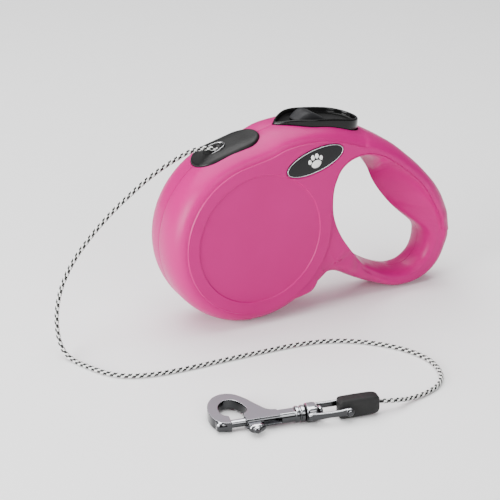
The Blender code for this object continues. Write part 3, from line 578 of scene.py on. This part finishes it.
def screwCutter():
    shank, head, bevel, gap, outFrom, bevelFrom, outTo = screwSizes.values()
    holes = []
    for x, z, seat in screwPlaces:
        profile = [(shank, outFrom), (shank, seat - gap), (head, seat - gap), (head, bevelFrom),
                   (bevel, outTo)]
        holes.append(loftRings([[at(x + r * c, y, z + r * s) for c, s in circle(32)]
                                for r, y in profile]))
    return finishMesh("screwHoles", joined(holes), None)


guideSizes = dict(
    fromX=-22.5, toX=4.0, halfWidth=7.8, proud=0.75, depth=2.6, edgeRound=0.9, gap=0.2, crown=5.7,
    mouthAt=0.36, mouthShift=0.7, mouthLong=4.6, mouthWide=3.1, rimTube=0.3, rimArc=112, rimGrow=1.04)
# the funnel: share of the mouth's size, then the height
funnelProfile = [(0.34, -7), (0.36, -2.6), (0.44, -1.7), (0.62, -0.8), (0.84, 0.1), (1.0, 0.9), (1.0, 3)]


# the casing's top line under the guide, and half its length
def guideLine():
    sizes = guideSizes
    top = [p for p in caseOutline() if p.y > 36 and sizes["fromX"] <= p.x <= sizes["toX"]]
    line = evenly(sorted(top, key=lambda p: p.x), 0.5)
    return line, (line[1] - line[0]).length * (len(line) - 1) / 2


# how far the casing's rounded top has fallen at y
def crownDrop(y):
    land, half = caseSizes["land"], caseSizes["halfThickness"]
    share = min(0.98, max(0.0, abs(y) - land) / (half - land))
    return guideSizes["crown"] * (1 - math.sqrt(1 - share ** 2))


# a place on the casing's top, run along the line
def onCrown(line, run, y, height):
    spacing = (line[1] - line[0]).length
    k = min(len(line) - 2, max(0, int(run / spacing)))
    ahead = (line[k + 1] - line[k]).xy / spacing
    p = line[k].xy + ahead * (run - k * spacing) + Vector((-ahead.y, ahead.x)) * (height - crownDrop(y))
    return at(p.x, y, p.y)


# a slot's outline, brought in by the inset
def capsule(halfLong, radius, inset, steps=96):
    straight = halfLong - radius
    r = max(radius - inset, 0.0)
    out = []
    for i in range(steps):
        t = 2 * math.pi * (i + 0.5) / steps
        out.append((math.copysign(straight, math.cos(t)) + r * math.cos(t), r * math.sin(t)))
    return out


def guideCutter():
    sizes = guideSizes
    line, half = guideLine()
    loop = capsule(half + sizes["gap"], sizes["halfWidth"] + sizes["gap"], 0.0)
    rings = [[onCrown(line, half + u, v, h) for u, v in loop] for h in (-sizes["depth"] - 2, 3.0)]
    return finishMesh("guideOpening", loftRings(rings), None)


def addGuide():
    sizes = guideSizes
    line, half = guideLine()
    mouthU = half * (2 * sizes["mouthAt"] - 1) - sizes["mouthShift"]

    def height(inset):
        corner = max(0.0, 1 - inset / sizes["edgeRound"])
        return sizes["proud"] - sizes["edgeRound"] * 0.8 * (1 - math.sqrt(1 - corner ** 2))

    wide = sizes["halfWidth"]
    insets = [0.0, 0.06, 0.18, 0.36, 0.6, 0.9] + [1.2 + 0.3 * i for i in range(22)] + [wide]
    levels = [(0.0, -sizes["depth"])] + [(inset, height(inset)) for inset in insets]
    rings = [[onCrown(line, half + u, v, level) for u, v in capsule(half, wide, inset)]
             for inset, level in levels]
    bm = loftRings(rings, caps=False)
    bm.verts.ensure_lookup_table()
    bm.faces.new(bm.verts[:len(rings[0])])
    bmesh.ops.remove_doubles(bm, verts=bm.verts, dist=0.02 * mm)
    edges = [e for e in bm.edges if len(e.link_faces) == 1]
    bmesh.ops.holes_fill(bm, edges=edges, sides=0)
    guide = finishMesh("cordGuide", bm, mats["guideBlack"], sharp=50)

    centre = onCrown(line, half + mouthU, 0, 0)
    outward = (onCrown(line, half + mouthU, 0, 1) - centre).normalized()
    ahead = Vector((0, 1, 0)).cross(outward).normalized()
    rings = []
    for share, h in funnelProfile:
        back = 0.8 * (1 - share)
        rings.append([centre + (ahead * (share * sizes["mouthLong"] * c + back)
                                + Vector((0, share * sizes["mouthWide"] * s, 0)) + outward * h) * mm
                      for c, s in circle(48)])
    funnel = finishMesh("funnelCutter", loftRings(rings), None)
    cutWith(guide, [funnel])
    settle(guide, 40)
    bpy.data.objects.remove(funnel)
    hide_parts("cord_guide")
    # the raised rim behind the mouth, thinning to its two ends; its bright steel colour is a painted
    # highlight
    rings, steps = [], 40
    for i in range(steps + 1):
        t = math.radians(sizes["rimArc"] * (2 * i / steps - 1))
        out = ahead * sizes["mouthLong"] * math.cos(t) + Vector((0, sizes["mouthWide"] * math.sin(t), 0))
        place = out.normalized()
        u, v = mouthU + out.dot(ahead) * sizes["rimGrow"], out.y * sizes["rimGrow"]
        foot = onCrown(line, half + u, v, sizes["proud"] + 0.05)
        thick = sizes["rimTube"] * (0.35 + 0.65 * math.sin(math.pi * i / steps)) * mm
        rings.append([foot + (place * c + outward * s) * thick for c, s in circle(10)])
    rim = finishMesh("mouthRim", loftRings(rings), mats["rimPaintedHighlight"], sharp=80)
    for piece in (guide, rim):
        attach(piece, "casing")


# the thumb button is a tray in the casing's top
traySizes = dict(
    fromX=11.0, toX=47.6, halfWidth=8.8, depth=5.8, floor=1.9, gap=0.3, cutFrom=69.5, cutTo=92.0,
    rimHigh=80.1, rimHighAt=15, rimBend=0.0034, noseDrop=2.0, noseLong=9, fullFrom=0.42, fullTo=0.76)


def trayHalfWidth(x):
    sizes = traySizes
    t = (x - sizes["fromX"]) / (sizes["toX"] - sizes["fromX"])
    front = math.sin(min(1, t / sizes["fullFrom"]) * math.pi / 2) ** 0.75
    past = max(0.0, t - sizes["fullTo"]) / (1 - sizes["fullTo"])
    return sizes["halfWidth"] * front * math.sqrt(max(0.0, 1 - past ** 2))


def trayRimZ(x):
    sizes = traySizes
    front = max(0.0, 1 - (x - sizes["fromX"]) / sizes["noseLong"])
    crown = sizes["rimHigh"] - sizes["rimBend"] * (x - sizes["rimHighAt"]) ** 2
    return crown - sizes["noseDrop"] * front ** 1.5


def trayLoop(steps=64):
    fromX, toX = traySizes["fromX"], traySizes["toX"]
    xs = [fromX + (toX - fromX) * (1 - math.cos(math.pi * i / steps)) / 2 for i in range(steps + 1)]
    left = [(x, -trayHalfWidth(x)) for x in xs[1:-1]]
    return [(xs[0], 0.0)] + left + [(xs[-1], 0.0)] + [(x, -y) for x, y in reversed(left)]


def trayRing(loop, inset, height):
    middle = (traySizes["fromX"] + traySizes["toX"]) / 2
    longHalf = (traySizes["toX"] - traySizes["fromX"]) / 2
    along, across = 1 - inset / longHalf, 1 - inset / traySizes["halfWidth"]
    places = [(middle + (x - middle) * along, y * across) for x, y in loop]
    return [at(x, y, height(x)) for x, y in places]


# a long ring closed by strips across it
def fillAcross(bm, row):
    size = len(row)
    bm.faces.new((row[0], row[1], row[-1]))
    for i in range(1, size // 2 - 1):
        bm.faces.new((row[i], row[i + 1], row[-i - 1], row[-i]))
    bm.faces.new((row[size // 2 - 1], row[size // 2], row[size // 2 + 1]))


def trayCutter():
    heights = (traySizes["cutFrom"], traySizes["cutTo"])
    rings = [trayRing(trayLoop(), -traySizes["gap"], lambda x, z=z: z) for z in heights]
    return finishMesh("buttonOpening", loftRings(rings), None)


def addButton():
    loop = trayLoop()
    floor = -traySizes["floor"]
    # inset from the outline, then height over the rim: up the wall, over the rim and down to the floor
    shape = [(0.5, -traySizes["depth"]), (0.12, -3.2), (0.0, -0.7), (0.03, -0.35), (0.16, -0.1),
             (0.36, 0.0), (0.72, 0.0), (0.94, -0.08), (1.06, -0.3), (1.15, -0.8), (1.25, floor + 0.5),
             (1.4, floor + 0.15), (1.7, floor)]
    rings = [trayRing(loop, inset, lambda x, drop=drop: trayRimZ(x) + drop) for inset, drop in shape]
    bm = loftRings(rings, caps=False)
    corners = list(bm.verts)
    fillAcross(bm, corners[:len(loop)])
    fillAcross(bm, corners[-len(loop):])
    button = finishMesh("thumbButton", bm, mats["buttonBlack"], sharp=50)
    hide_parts("brake_button")
    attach(button, "button")


sliderSizes = dict(fromX=19.0, toX=32.6, halfWidth=4.4, topX=25.3, topZ=81.25, gap=0.3)
# share of the outline, then share of the height
sliderProfile = [
    (1.0, -1.0), (1.0, 0.0), (0.985, 0.35), (0.95, 0.6), (0.9, 0.78), (0.82, 0.9), (0.7, 0.97),
    (0.5, 1.0), (0.25, 1.0), (0.06, 1.0)]


def addSlider():
    sizes = sliderSizes
    middle = (sizes["fromX"] + sizes["toX"]) / 2
    halfLong = (sizes["toX"] - sizes["fromX"]) / 2

    def crest(x):
        low = trayRimZ(x) - 1.0
        if x < sizes["topX"]:
            share = math.sin(ease(sizes["fromX"], sizes["topX"], x) * math.pi / 2)
        else:
            share = 1 - ease(sizes["topX"] - 1.0, sizes["toX"], x)
        return low + (sizes["topZ"] - low) * share

    rings = []
    for share, lift in sliderProfile:
        ring = []
        for c, s in squarish(64, 0.75):
            x = middle + halfLong * share * c
            base = trayRimZ(x) - traySizes["floor"] + sizes["gap"]
            z = base if lift < 0 else base + (crest(x) - base) * lift
            ring.append(at(x, sizes["halfWidth"] * share * s, z))
        rings.append(ring)
    slider = finishMesh("lockSlider", loftRings(rings), mats["sliderGrey"], sharp=50)
    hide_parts("lock_slider")
    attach(slider, "slider")


# the paw's pads: a, b and the two half sizes
pawPads = [(0.0, -0.9, 2.1, 1.55), (-2.35, 0.75, 0.72, 0.98), (-0.85, 2.05, 0.78, 1.05),
           (0.85, 2.05, 0.78, 1.05), (2.35, 0.75, 0.72, 0.98)]
padProfile = [(1.0, 0.1), (1.0, 0.3), (0.93, 0.38), (0.7, 0.42), (0.1, 0.44)]
pawScale, pawDrop = 1.05, 0.3
rimInset, rimTube = 0.3, (0.14, 0.1)  # the silver rim and its half width and height


def onBadge(side, a, b, height):
    x, z = badgePoint(a, b)
    return at(x, side * (caseSizes["halfThickness"] + height), z)


def ovalRings(side, a, b, halfLong, halfWide, steps, profile):
    return [[onBadge(side, a + halfLong * share * c, b + halfWide * share * s, height)
             for c, s in circle(steps)] for share, height in profile]


def addBadge(name, side, node):
    halfLong, halfWide, steps = (badgeShape[key] for key in ("long", "short", "steps"))
    domed = [(1.0, 0.02 - badgeShape["depth"]), (1.0, -0.02), (0.985, 0.08), (0.95, 0.13), (0.8, 0.19),
             (0.55, 0.24), (0.3, 0.26), (0.05, 0.27)]
    badge = finishMesh(name, loftRings(ovalRings(side, 0, 0, halfLong, halfWide, steps, domed)),
                       mats["badgeBlack"], sharp=60)
    rings = []
    for c, s in circle(steps):
        ring = []
        for outwards, up in circle(10):
            grow = rimTube[0] * outwards - rimInset
            ring.append(onBadge(side, (halfLong + grow) * c, (halfWide + grow) * s,
                                rimTube[1] * (1 + up)))
        rings.append(ring)
    rim = finishMesh(name + "Rim", loftRings(rings, joinEnds=True), mats["badgeSilver"], sharp=60)
    pads = [loftRings(ovalRings(side, a * pawScale, b * pawScale - pawDrop, *half, 28, padProfile))
            for a, b, *half in pawPads]
    paw = finishMesh(name + "Paw", joined(pads), mats["pawWhite"], sharp=60)
    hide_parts(node)
    for piece in (badge, rim, paw):
        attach(piece, "casing")


# the hook's parts are drawn about the cross-pin: s along the hook, t across it and z up
pinHole = 1.05  # the cross-pin's hole, in the fork and the sleeve
hookFrame = dict(pin=(-5.15, -88.1, 3.95), heading=math.radians(-12.5), pitch=math.radians(2.2),
                 sleevePitch=math.radians(3.0))


def toHook(pitch):
    flat = Vector((math.cos(hookFrame["heading"]), math.sin(hookFrame["heading"]), 0))
    across = Vector((-flat.y, flat.x, 0))
    ahead = flat * math.cos(pitch) + Vector((0, 0, math.sin(pitch)))
    axes = Matrix((ahead, across, ahead.cross(across))).transposed().to_4x4()
    return Matrix.Translation(at(*hookFrame["pin"])) @ axes


# a section run along s and scaled at each place
def sectionRod(stretch, outline):
    rings = [[Vector((s, t * scale, z * scale)) * mm for t, z in outline] for s, scale in stretch]
    return loftRings(rings)


def roundSection(radius, flatTop=None, steps=28):
    top = flatTop or radius
    return [(radius * c, min(radius * s, top)) for c, s in circle(steps)]


def boxySection(halfWide, halfTall, power, steps=40):
    return [(halfWide * c, halfTall * s) for c, s in squarish(steps, 2 / power)]


def flatPlate(outline, low, high):
    return loftRings([[Vector((s, t, z)) * mm for s, t in outline] for z in (low, high)])


def ballPart(centre, radii, steps=20):
    bm = bmesh.new()
    bmesh.ops.create_uvsphere(bm, u_segments=steps, v_segments=steps // 2, radius=1.0)
    for v in bm.verts:
        v.co = Vector((centre[i] + v.co[i] * radii[i] for i in range(3))) * mm
    return bm


# a rod on the cross-pin's axis
def crossRod(radius, half, steps=20):
    return loftRings([[Vector((radius * c, t, radius * s)) * mm for c, s in circle(steps)]
                      for t in (-half, half)])


# painted shade on the sides and a satin top with a painted grey reflection, picked by how far each point
# faces up, read by the hook's material
def markFacing(mesh):
    shade = mesh.attributes.new("shade", "FLOAT", "POINT")
    satin = mesh.attributes.new("satin", "FLOAT", "POINT")
    for i, vertex in enumerate(mesh.vertices):
        up = vertex.normal.z
        # painted shade: the less a point faces up, the darker it is drawn
        shade.data[i].value = 0.08 + 0.92 * ease(0.4, 0.85, up)
        # the flat top, which gets the satin finish and its painted grey
        satin.data[i].value = ease(0.955, 0.99, up)


# parts joined, cut and softened into one casting
def castPiece(name, parts, cuts, voxel, passes=2):
    material = mats["hookChrome"]
    made = [finishMesh(name + "Part", part, material) for part in parts]
    cutters = [finishMesh(name + "Cut", part, None) for part in cuts]
    base = made[0]
    for tool in made[1:]:
        step = base.modifiers.new("join", "BOOLEAN")
        step.operation, step.solver, step.object = "UNION", "EXACT", tool
    cutWith(base, cutters)
    remesh = base.modifiers.new("cast", "REMESH")
    remesh.mode = "VOXEL"
    remesh.voxel_size = voxel * mm
    relax = base.modifiers.new("polish", "SMOOTH")
    relax.factor, relax.iterations = 0.5, passes
    settle(base)
    # painted shade for the sides and painted grey for the flat top
    markFacing(base.data)
    base.data.transform(toHook(hookFrame["pitch"]))
    base.data.shade_smooth()
    base.name = name
    for tool in made[1:] + cutters:
        bpy.data.objects.remove(tool)
    base.data.materials.clear()
    base.data.materials.append(material)
    return base


hookOutside = [
    (-24.5, 2.2), (-27.6, 3.4), (-30.4, 7.6), (-33.2, 12.6), (-36.4, 16.2), (-40.2, 17.4),
    (-43.8, 15.9), (-46.4, 12.3), (-47.5, 7.8), (-47.2, 3.0), (-45.2, -0.9), (-42.6, -2.2),
    (-41.3, -2.3)]
hookInside = [
    (-41.3, 2.3), (-43.2, 3.6), (-43.9, 6.6), (-43.2, 10.0), (-40.9, 12.5), (-38.4, 12.7),
    (-36.2, 10.9), (-34.7, 7.4), (-34.4, 4.4), (-36.2, 2.4)]
hookFlat = 1.95  # the height of the hook's flat top
hookVoxel = dict(hook=0.15, bolt=0.13, fork=0.13, pin=0.1)  # the castings' mesh size


def addHook():
    outline = smoothCurve(hookOutside, 5, False) + smoothCurve(hookInside, 5, False)
    outline += [Vector((-36.2, -2.0)), Vector((-24.5, -2.0))]
    shank = sectionRod([(-36.0, 0.97), (-35.7, 1.0), (-18.0, 1.0)], roundSection(2.5, hookFlat))
    collar = sectionRod([(-18.9, 0.84), (-18.5, 0.98), (-17.6, 0.98), (-17.4, 0.86), (-16.9, 0.86),
                         (-16.7, 1.0), (-15.6, 1.0), (-15.3, 0.9)], roundSection(3.05))
    stem = sectionRod([(-15.6, 1.0), (-10.9, 1.0)], roundSection(1.2))
    head = ballPart((-9.7, 0, 0), (1.15, 1.9, 1.9))
    plate = flatPlate(outline, -1.7, hookFlat)
    tip = sectionRod([(-46.4, 0.7), (-45.6, 0.95), (-44.5, 1.0), (-41.3, 1.0)],
                     roundSection(2.3, hookFlat))
    barrel = sectionRod([(-42.4, 1.0), (-19.2, 1.0)], roundSection(1.72))
    slot = flatPlate([(-37.0, -5.0), (-23.8, -5.0), (-23.8, 0), (-37.0, 0)], -1.05, 1.05)
    parts = [plate, shank, collar, stem, head, tip]
    hook = castPiece("snapHook", parts, [barrel, slot], hookVoxel["hook"])
    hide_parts("hook_body")
    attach(hook, "hook")

    pin = sectionRod([(-41.9, 0.8), (-41.6, 0.96), (-41.2, 1.0), (-29.9, 1.0)], roundSection(1.4))
    stalk = flatPlate([(-35.6, -4.8), (-31.2, -4.8), (-31.2, -0.4), (-35.6, -0.4)], -0.75, 0.75)
    knob = ballPart((-33.2, -5.0, 0), (3.1, 1.35, 1.75))
    stud = ballPart((-33.4, -6.1, 0), (1.5, 1.1, 1.3))
    bolt = castPiece("snapBolt", [pin, stalk, knob, stud], [], hookVoxel["bolt"])
    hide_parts("hook_bolt")
    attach(bolt, "bolt")


def addFork():
    ring = sectionRod([(-15.0, 0.86), (-14.6, 0.97), (-14.0, 1.0), (-12.2, 1.0), (-11.3, 0.95),
                       (-10.9, 0.82)], boxySection(3.4, 3.15, 2.8))
    shoulder = sectionRod([(-14.7, 0.9), (-14.2, 1.0), (-12.0, 1.0), (-11.5, 0.9)],
                          boxySection(4.3, 1.75, 3.0))
    parts = [ring, shoulder]
    armAt, armThick = 3.6, 0.68
    armProfile = [(-13.4, 1.5), (-11.0, 1.3), (-7.0, 1.15), (-3.0, 1.2), (-1.0, 1.45), (0.4, 1.5),
                  (1.3, 0.9)]
    section = boxySection(armThick, 1.0, 2.6, 24)
    for side in (-1, 1):
        parts.append(loftRings([[Vector((s, side * armAt + t, tall * up)) * mm for t, up in section]
                                for s, tall in armProfile]))
        parts.append(ballPart((0, side * 4.1, 0), (1.6, 0.75, 1.6)))
    bore = sectionRod([(-16.0, 1.0), (-10.0, 1.0)], roundSection(1.5))
    fork = castPiece("swivelFork", parts, [bore, crossRod(pinHole, 6)], hookVoxel["fork"])
    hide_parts("swivel_fork")
    heads = [ballPart((0, t, 0), (1.0, 0.35, 1.0)) for t in (-4.85, 4.85)]
    pin = castPiece("crossPin", [crossRod(0.8, 4.7)] + heads, [], hookVoxel["pin"], 1)
    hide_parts("fork_pin")
    for piece in (fork, pin):
        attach(piece, "fork")


sleeveSection = (2.6, 3.6, 6.0)  # half width, half height and how square it is
# s, then the share of the full section
sleeveProfile = [
    (-3.0, 0.80), (-2.88, 0.88), (-2.6, 0.945), (-2.2, 0.98), (-1.5, 1.0), (2.0, 1.01), (6.0, 1.005),
    (8.6, 0.985), (9.8, 0.945), (10.7, 0.87), (11.3, 0.75), (11.6, 0.6), (11.7, 0.45)]


def addSleeve():
    wide, tall, power = sleeveSection
    rings = [[Vector((s, t, z)) * mm
              for t, z in boxySection(wide * share, tall * (share * 0.9 + 0.1), power, 64)]
             for s, share in sleeveProfile]
    sleeve = finishMesh("endSleeve", loftRings(rings), mats["sleeveRubber"], sharp=60)
    hole = finishMesh("sleeveHole", crossRod(pinHole, 6, 32), None)
    cutWith(sleeve, [hole])
    settle(sleeve, 45)
    bpy.data.objects.remove(hole)
    sleeve.data.transform(toHook(hookFrame["sleevePitch"]))
    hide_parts("end_sleeve")
    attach(sleeve, "casing")


# the cord is braided from strands wound both ways, over a plain core
cordSizes = dict(radius=0.9, strands=8, pitch=5.4, sample=0.3, strandRadius=0.27, weave=0.09, core=0.5)
cordRoute = [
    (-12.6, 0, 70.4), (-15.8, 0, 71.4), (-19.8, 0, 71.8), (-24.4, -0.1, 71.1), (-32, -0.3, 68.1),
    (-40, -0.4, 63.8), (-48.1, -0.5, 58.2), (-56.2, -0.6, 51.8), (-64, -0.8, 44.4), (-71.2, -1.0, 35.8),
    (-76.2, -1.4, 26.6), (-78.6, -2.0, 17.6), (-79.1, -3.4, 9.2), (-78.2, -6.4, 3.2),
    (-76.2, -11.4, 1.1), (-73.2, -18.3, 1), (-68.2, -26.6, 1), (-61.6, -31.6, 1), (-51.5, -34.2, 1),
    (-39.6, -34.9, 1), (-27.2, -34.8, 1), (-10.6, -34.9, 1), (5.2, -35.5, 1), (17.8, -38.1, 1),
    (28.2, -43.6, 1), (36.8, -51.6, 1), (42.2, -60.4, 1), (43.9, -69.6, 1), (41.4, -78.4, 1),
    (36, -84.4, 1), (28.6, -87.6, 1), (20.6, -89.2, 1.5), (13.4, -91.2, 3.6), (6.8, -90.76, 4.6)]


def treeInput(tree, name, kind, value=None):
    socket = tree.interface.new_socket(name=name, in_out="INPUT", socket_type="NodeSocket" + kind)
    if value is not None:
        socket.default_value = value


def braidTree():
    tree = bpy.data.node_groups.new("braidAlongRoute", "GeometryNodeTree")
    treeInput(tree, "Route", "Geometry")
    treeInput(tree, "Strands", "Int", cordSizes["strands"])
    for name, size in (("Pitch", "pitch"), ("Sample", "sample"), ("Strand Radius", "strandRadius"),
                       ("Weave", "weave"), ("Core Radius", "core")):
        treeInput(tree, name, "Float", cordSizes[size] * mm)
    treeInput(tree, "Light Yarn", "Material")
    treeInput(tree, "Dark Yarn", "Material")
    tree.interface.new_socket(name="Cord", in_out="OUTPUT", socket_type="NodeSocketGeometry")
    ins = tree.nodes.new("NodeGroupInput").outputs

    def put(kind, sources, **settings):
        return addNode(tree, "GeometryNode" + kind, sources, **settings)

    def sums(operation, a, b=0.0):
        return addNode(tree, "ShaderNodeMath", {0: a, 1: b}, operation=operation)[0]

    def vectors(operation, a, b):
        return addNode(tree, "ShaderNodeVectorMath", {0: a, 1: b}, operation=operation)[0]

    def scaled(vector, factor):
        return addNode(tree, "ShaderNodeVectorMath", {0: vector, "Scale": factor}, operation="SCALE")[0]

    # one copy of the route for each strand, numbered
    line = put("ResampleCurve", {"Curve": ins["Route"], "Length": ins["Sample"]}, mode="LENGTH")["Curve"]
    copies = put("DuplicateElements", {"Geometry": line, "Amount": ins["Strands"]}, domain="SPLINE")
    named = put("StoreNamedAttribute", {"Name": "strand", "Geometry": copies["Geometry"],
                                        "Value": copies["Duplicate Index"]},
                data_type="INT", domain="CURVE")
    index = put("InputNamedAttribute", {"Name": "strand"}, data_type="INT")["Attribute"]

    # even strands wind one way and odd ones the other, over and under each other
    run = put("SplineParameter", {})["Length"]
    direction = sums("SUBTRACT", 1.0, sums("MULTIPLY", sums("MODULO", index, 2.0), 2.0))
    perWay = sums("DIVIDE", ins["Strands"], 2.0)
    pair = sums("FLOOR", sums("DIVIDE", index, 2.0))
    phase = sums("MULTIPLY", sums("DIVIDE", pair, perWay), 2 * math.pi)
    wound = sums("MULTIPLY", sums("DIVIDE", run, ins["Pitch"]), 2 * math.pi)
    turn = sums("ADD", sums("MULTIPLY", wound, direction), phase)
    lift = sums("MULTIPLY", sums("COSINE", sums("MULTIPLY", wound, perWay)),
                sums("MULTIPLY", direction, ins["Weave"]))
    base = sums("SUBTRACT", cordSizes["radius"] * mm, sums("ADD", ins["Strand Radius"], ins["Weave"]))
    radius = sums("ADD", base, lift)
    normal = put("InputNormal", {})[0]
    side = vectors("CROSS_PRODUCT", put("InputTangent", {})[0], normal)
    offset = vectors("ADD", scaled(normal, sums("MULTIPLY", radius, sums("COSINE", turn))),
                     scaled(side, sums("MULTIPLY", radius, sums("SINE", turn))))
    moved = put("SetPosition", {"Geometry": named["Geometry"], "Offset": offset})["Geometry"]

    def sweep(curve, tubeRadius, points):
        ring = put("CurvePrimitiveCircle", {"Resolution": points, "Radius": tubeRadius})["Curve"]
        return put("CurveToMesh", {"Curve": curve, "Profile Curve": ring, "Fill Caps": True})["Mesh"]

    strands = sweep(moved, ins["Strand Radius"], 6)
    core = sweep(ins["Route"], ins["Core Radius"], 10)
    both = tree.nodes.new("GeometryNodeJoinGeometry")
    for mesh in (core, strands):
        tree.links.new(mesh, both.inputs["Geometry"])
    whole = put("RealizeInstances", {"Geometry": both.outputs["Geometry"]})["Geometry"]
    dark = put("SetMaterial", {"Geometry": whole, "Material": ins["Dark Yarn"]})["Geometry"]
    chosen = sums("GREATER_THAN", sums("MODULO", pair, 2.0), 0.5)
    light = put("SetMaterial", {"Geometry": dark, "Selection": chosen, "Material": ins["Light Yarn"]})
    tree.links.new(light["Geometry"], tree.nodes.new("NodeGroupOutput").inputs["Cord"])
    return tree


def routeLength(route):
    return sum((b - a).length for a, b in zip(route, route[1:]))


def addCord():
    sizes = cordSizes
    route = [at(*p) for p in evenly(smoothCurve(cordRoute, 8, False), 2.0)]
    line = bpy.data.curves.new("cordRoute", "CURVE")
    line.dimensions = "3D"
    spline = line.splines.new("POLY")
    spline.points.add(len(route) - 1)
    for point, place in zip(spline.points, route):
        point.co = (*place, 1)
    holder = addObject("cordRoute", line)
    step = holder.modifiers.new("braid", "NODES")
    step.node_group = braidTree()
    items = step.node_group.interface.items_tree
    sockets = {item.name: item.identifier for item in items if item.in_out == "INPUT"}
    step[sockets["Strands"]] = sizes["strands"]
    step[sockets["Pitch"]] = sizes["pitch"] * mm
    step[sockets["Light Yarn"]] = mats["yarnWhite"]
    step[sockets["Dark Yarn"]] = mats["yarnBlack"]
    mesh = plainMesh(holder)
    mesh.name = "braidedCord"
    mesh.shade_smooth()
    cord = addObject("braidedCord", mesh)
    bpy.data.objects.remove(holder)
    print("cord", len(mesh.polygons), "faces,", round(routeLength(route), 4), "m")
    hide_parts("cord")
    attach(cord, "casing")
    return cord, route


# the pieces, in turn
stations = caseStations()
print("casing sections ready", len(stations))
cutters = [guideCutter(), trayCutter(), screwCutter()]
for name, side, node in (("leftCase", -1, "left_shell"), ("rightCase", 1, "right_shell")):
    shell = buildShell(name, side, stations, cutters if side > 0 else cutters[:2])
    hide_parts(node)
    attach(shell, "casing")
    print(name, "faces", len(shell.data.polygons))
for cutter in cutters:
    bpy.data.objects.remove(cutter)
addGuide()
addButton()
addSlider()
addBadge("leftBadge", -1, "left_badge")
addBadge("rightBadge", 1, "right_badge")
print("casing pieces ready")
addHook()
addFork()
addSleeve()
print("hook pieces ready")
cord, route = addCord()

# the finishes of the model's own pieces
nodeFinish = {
    "plainSteel": ("button_spring", "pawl_pin", "pawl_spring", "mainspring", "axle", "left_washer",
                   "right_washer", "screw_nose", "screw_panel", "screw_neck", "screw_arm", "bolt_spring"),
    "reelNylon": ("brake_pawl", "reel", "spring_cover"),
    "badgeBlack": ("left_badge", "right_badge"),
    "guideBlack": ("cord_guide", "spring_arbor"),
    "buttonBlack": ("brake_button",),
    "sliderGrey": ("lock_slider",),
    "yarnBlack": ("cord_winding", "cord_inner_run"),
    "yarnWhite": ("cord",),
    "sleeveRubber": ("end_sleeve",),
    "hookChrome": ("fork_pin", "swivel_fork", "hook_body", "hook_bolt")}
for finish, names in nodeFinish.items():
    for nodeName in names:
        for holder in nodes[nodeName].material_slots:
            holder.material = mats[finish]


def addStage():
    bpy.ops.mesh.primitive_plane_add(size=6.0, location=(0, 0, 0))
    floor = bpy.context.object
    floor.name = "floor"
    floor.data.materials.append(mats["floorWhite"])


def addAreaLight(name, place, target, size, power):
    light = bpy.data.lights.new(name, "AREA")
    light.shape = "RECTANGLE"
    light.size, light.size_y = size
    light.energy = power
    lamp = addObject(name, light)
    lamp.location = place
    lamp.rotation_euler = (Vector(target) - Vector(place)).to_track_quat("-Z", "Y").to_euler()


# the camera's own right and its direction back from the object, then its place, in metres
cameraSizes = dict(right=(0.8865, -0.4620, 0.0237), back=(-0.4319, -0.8083, 0.4002),
                   place=(-0.2615, -0.4410, 0.2449), lens=100, sensor=36)


def addCamera():
    sizes = cameraSizes
    right, back = Vector(sizes["right"]).normalized(), Vector(sizes["back"]).normalized()
    up = back.cross(right).normalized()
    lens = bpy.data.cameras.new("camera")
    lens.lens = sizes["lens"]
    lens.sensor_width = sizes["sensor"]
    camera = addObject("camera", lens)
    axes = Matrix((right, up, back)).transposed().to_4x4()
    camera.matrix_world = Matrix.Translation(sizes["place"]) @ axes
    bpy.context.scene.camera = camera


# place, target and size in metres, then watts
lampSizes = [
    ("keyLight", (-0.72, -0.16, 0.22), (-0.05, 0, 0.05), (0.40, 0.42), 9.0),
    ("topLight", (-0.10, 0.20, 1.00), (0, 0, 0.0), (1.3, 1.3), 24.0),
    ("frontFill", (0.10, -1.00, 0.55), (0, 0, 0.04), (0.7, 0.5), 5.0),
]
addStage()
for name, place, target, size, power in lampSizes:
    addAreaLight(name, place, target, size, power)
world = bpy.data.worlds.new("studio")
world.use_nodes = True
background = world.node_tree.nodes["Background"]
background.inputs["Color"].default_value = (0.95, 0.95, 0.97, 1)
background.inputs["Strength"].default_value = 0.25
bpy.context.scene.world = world
addCamera()
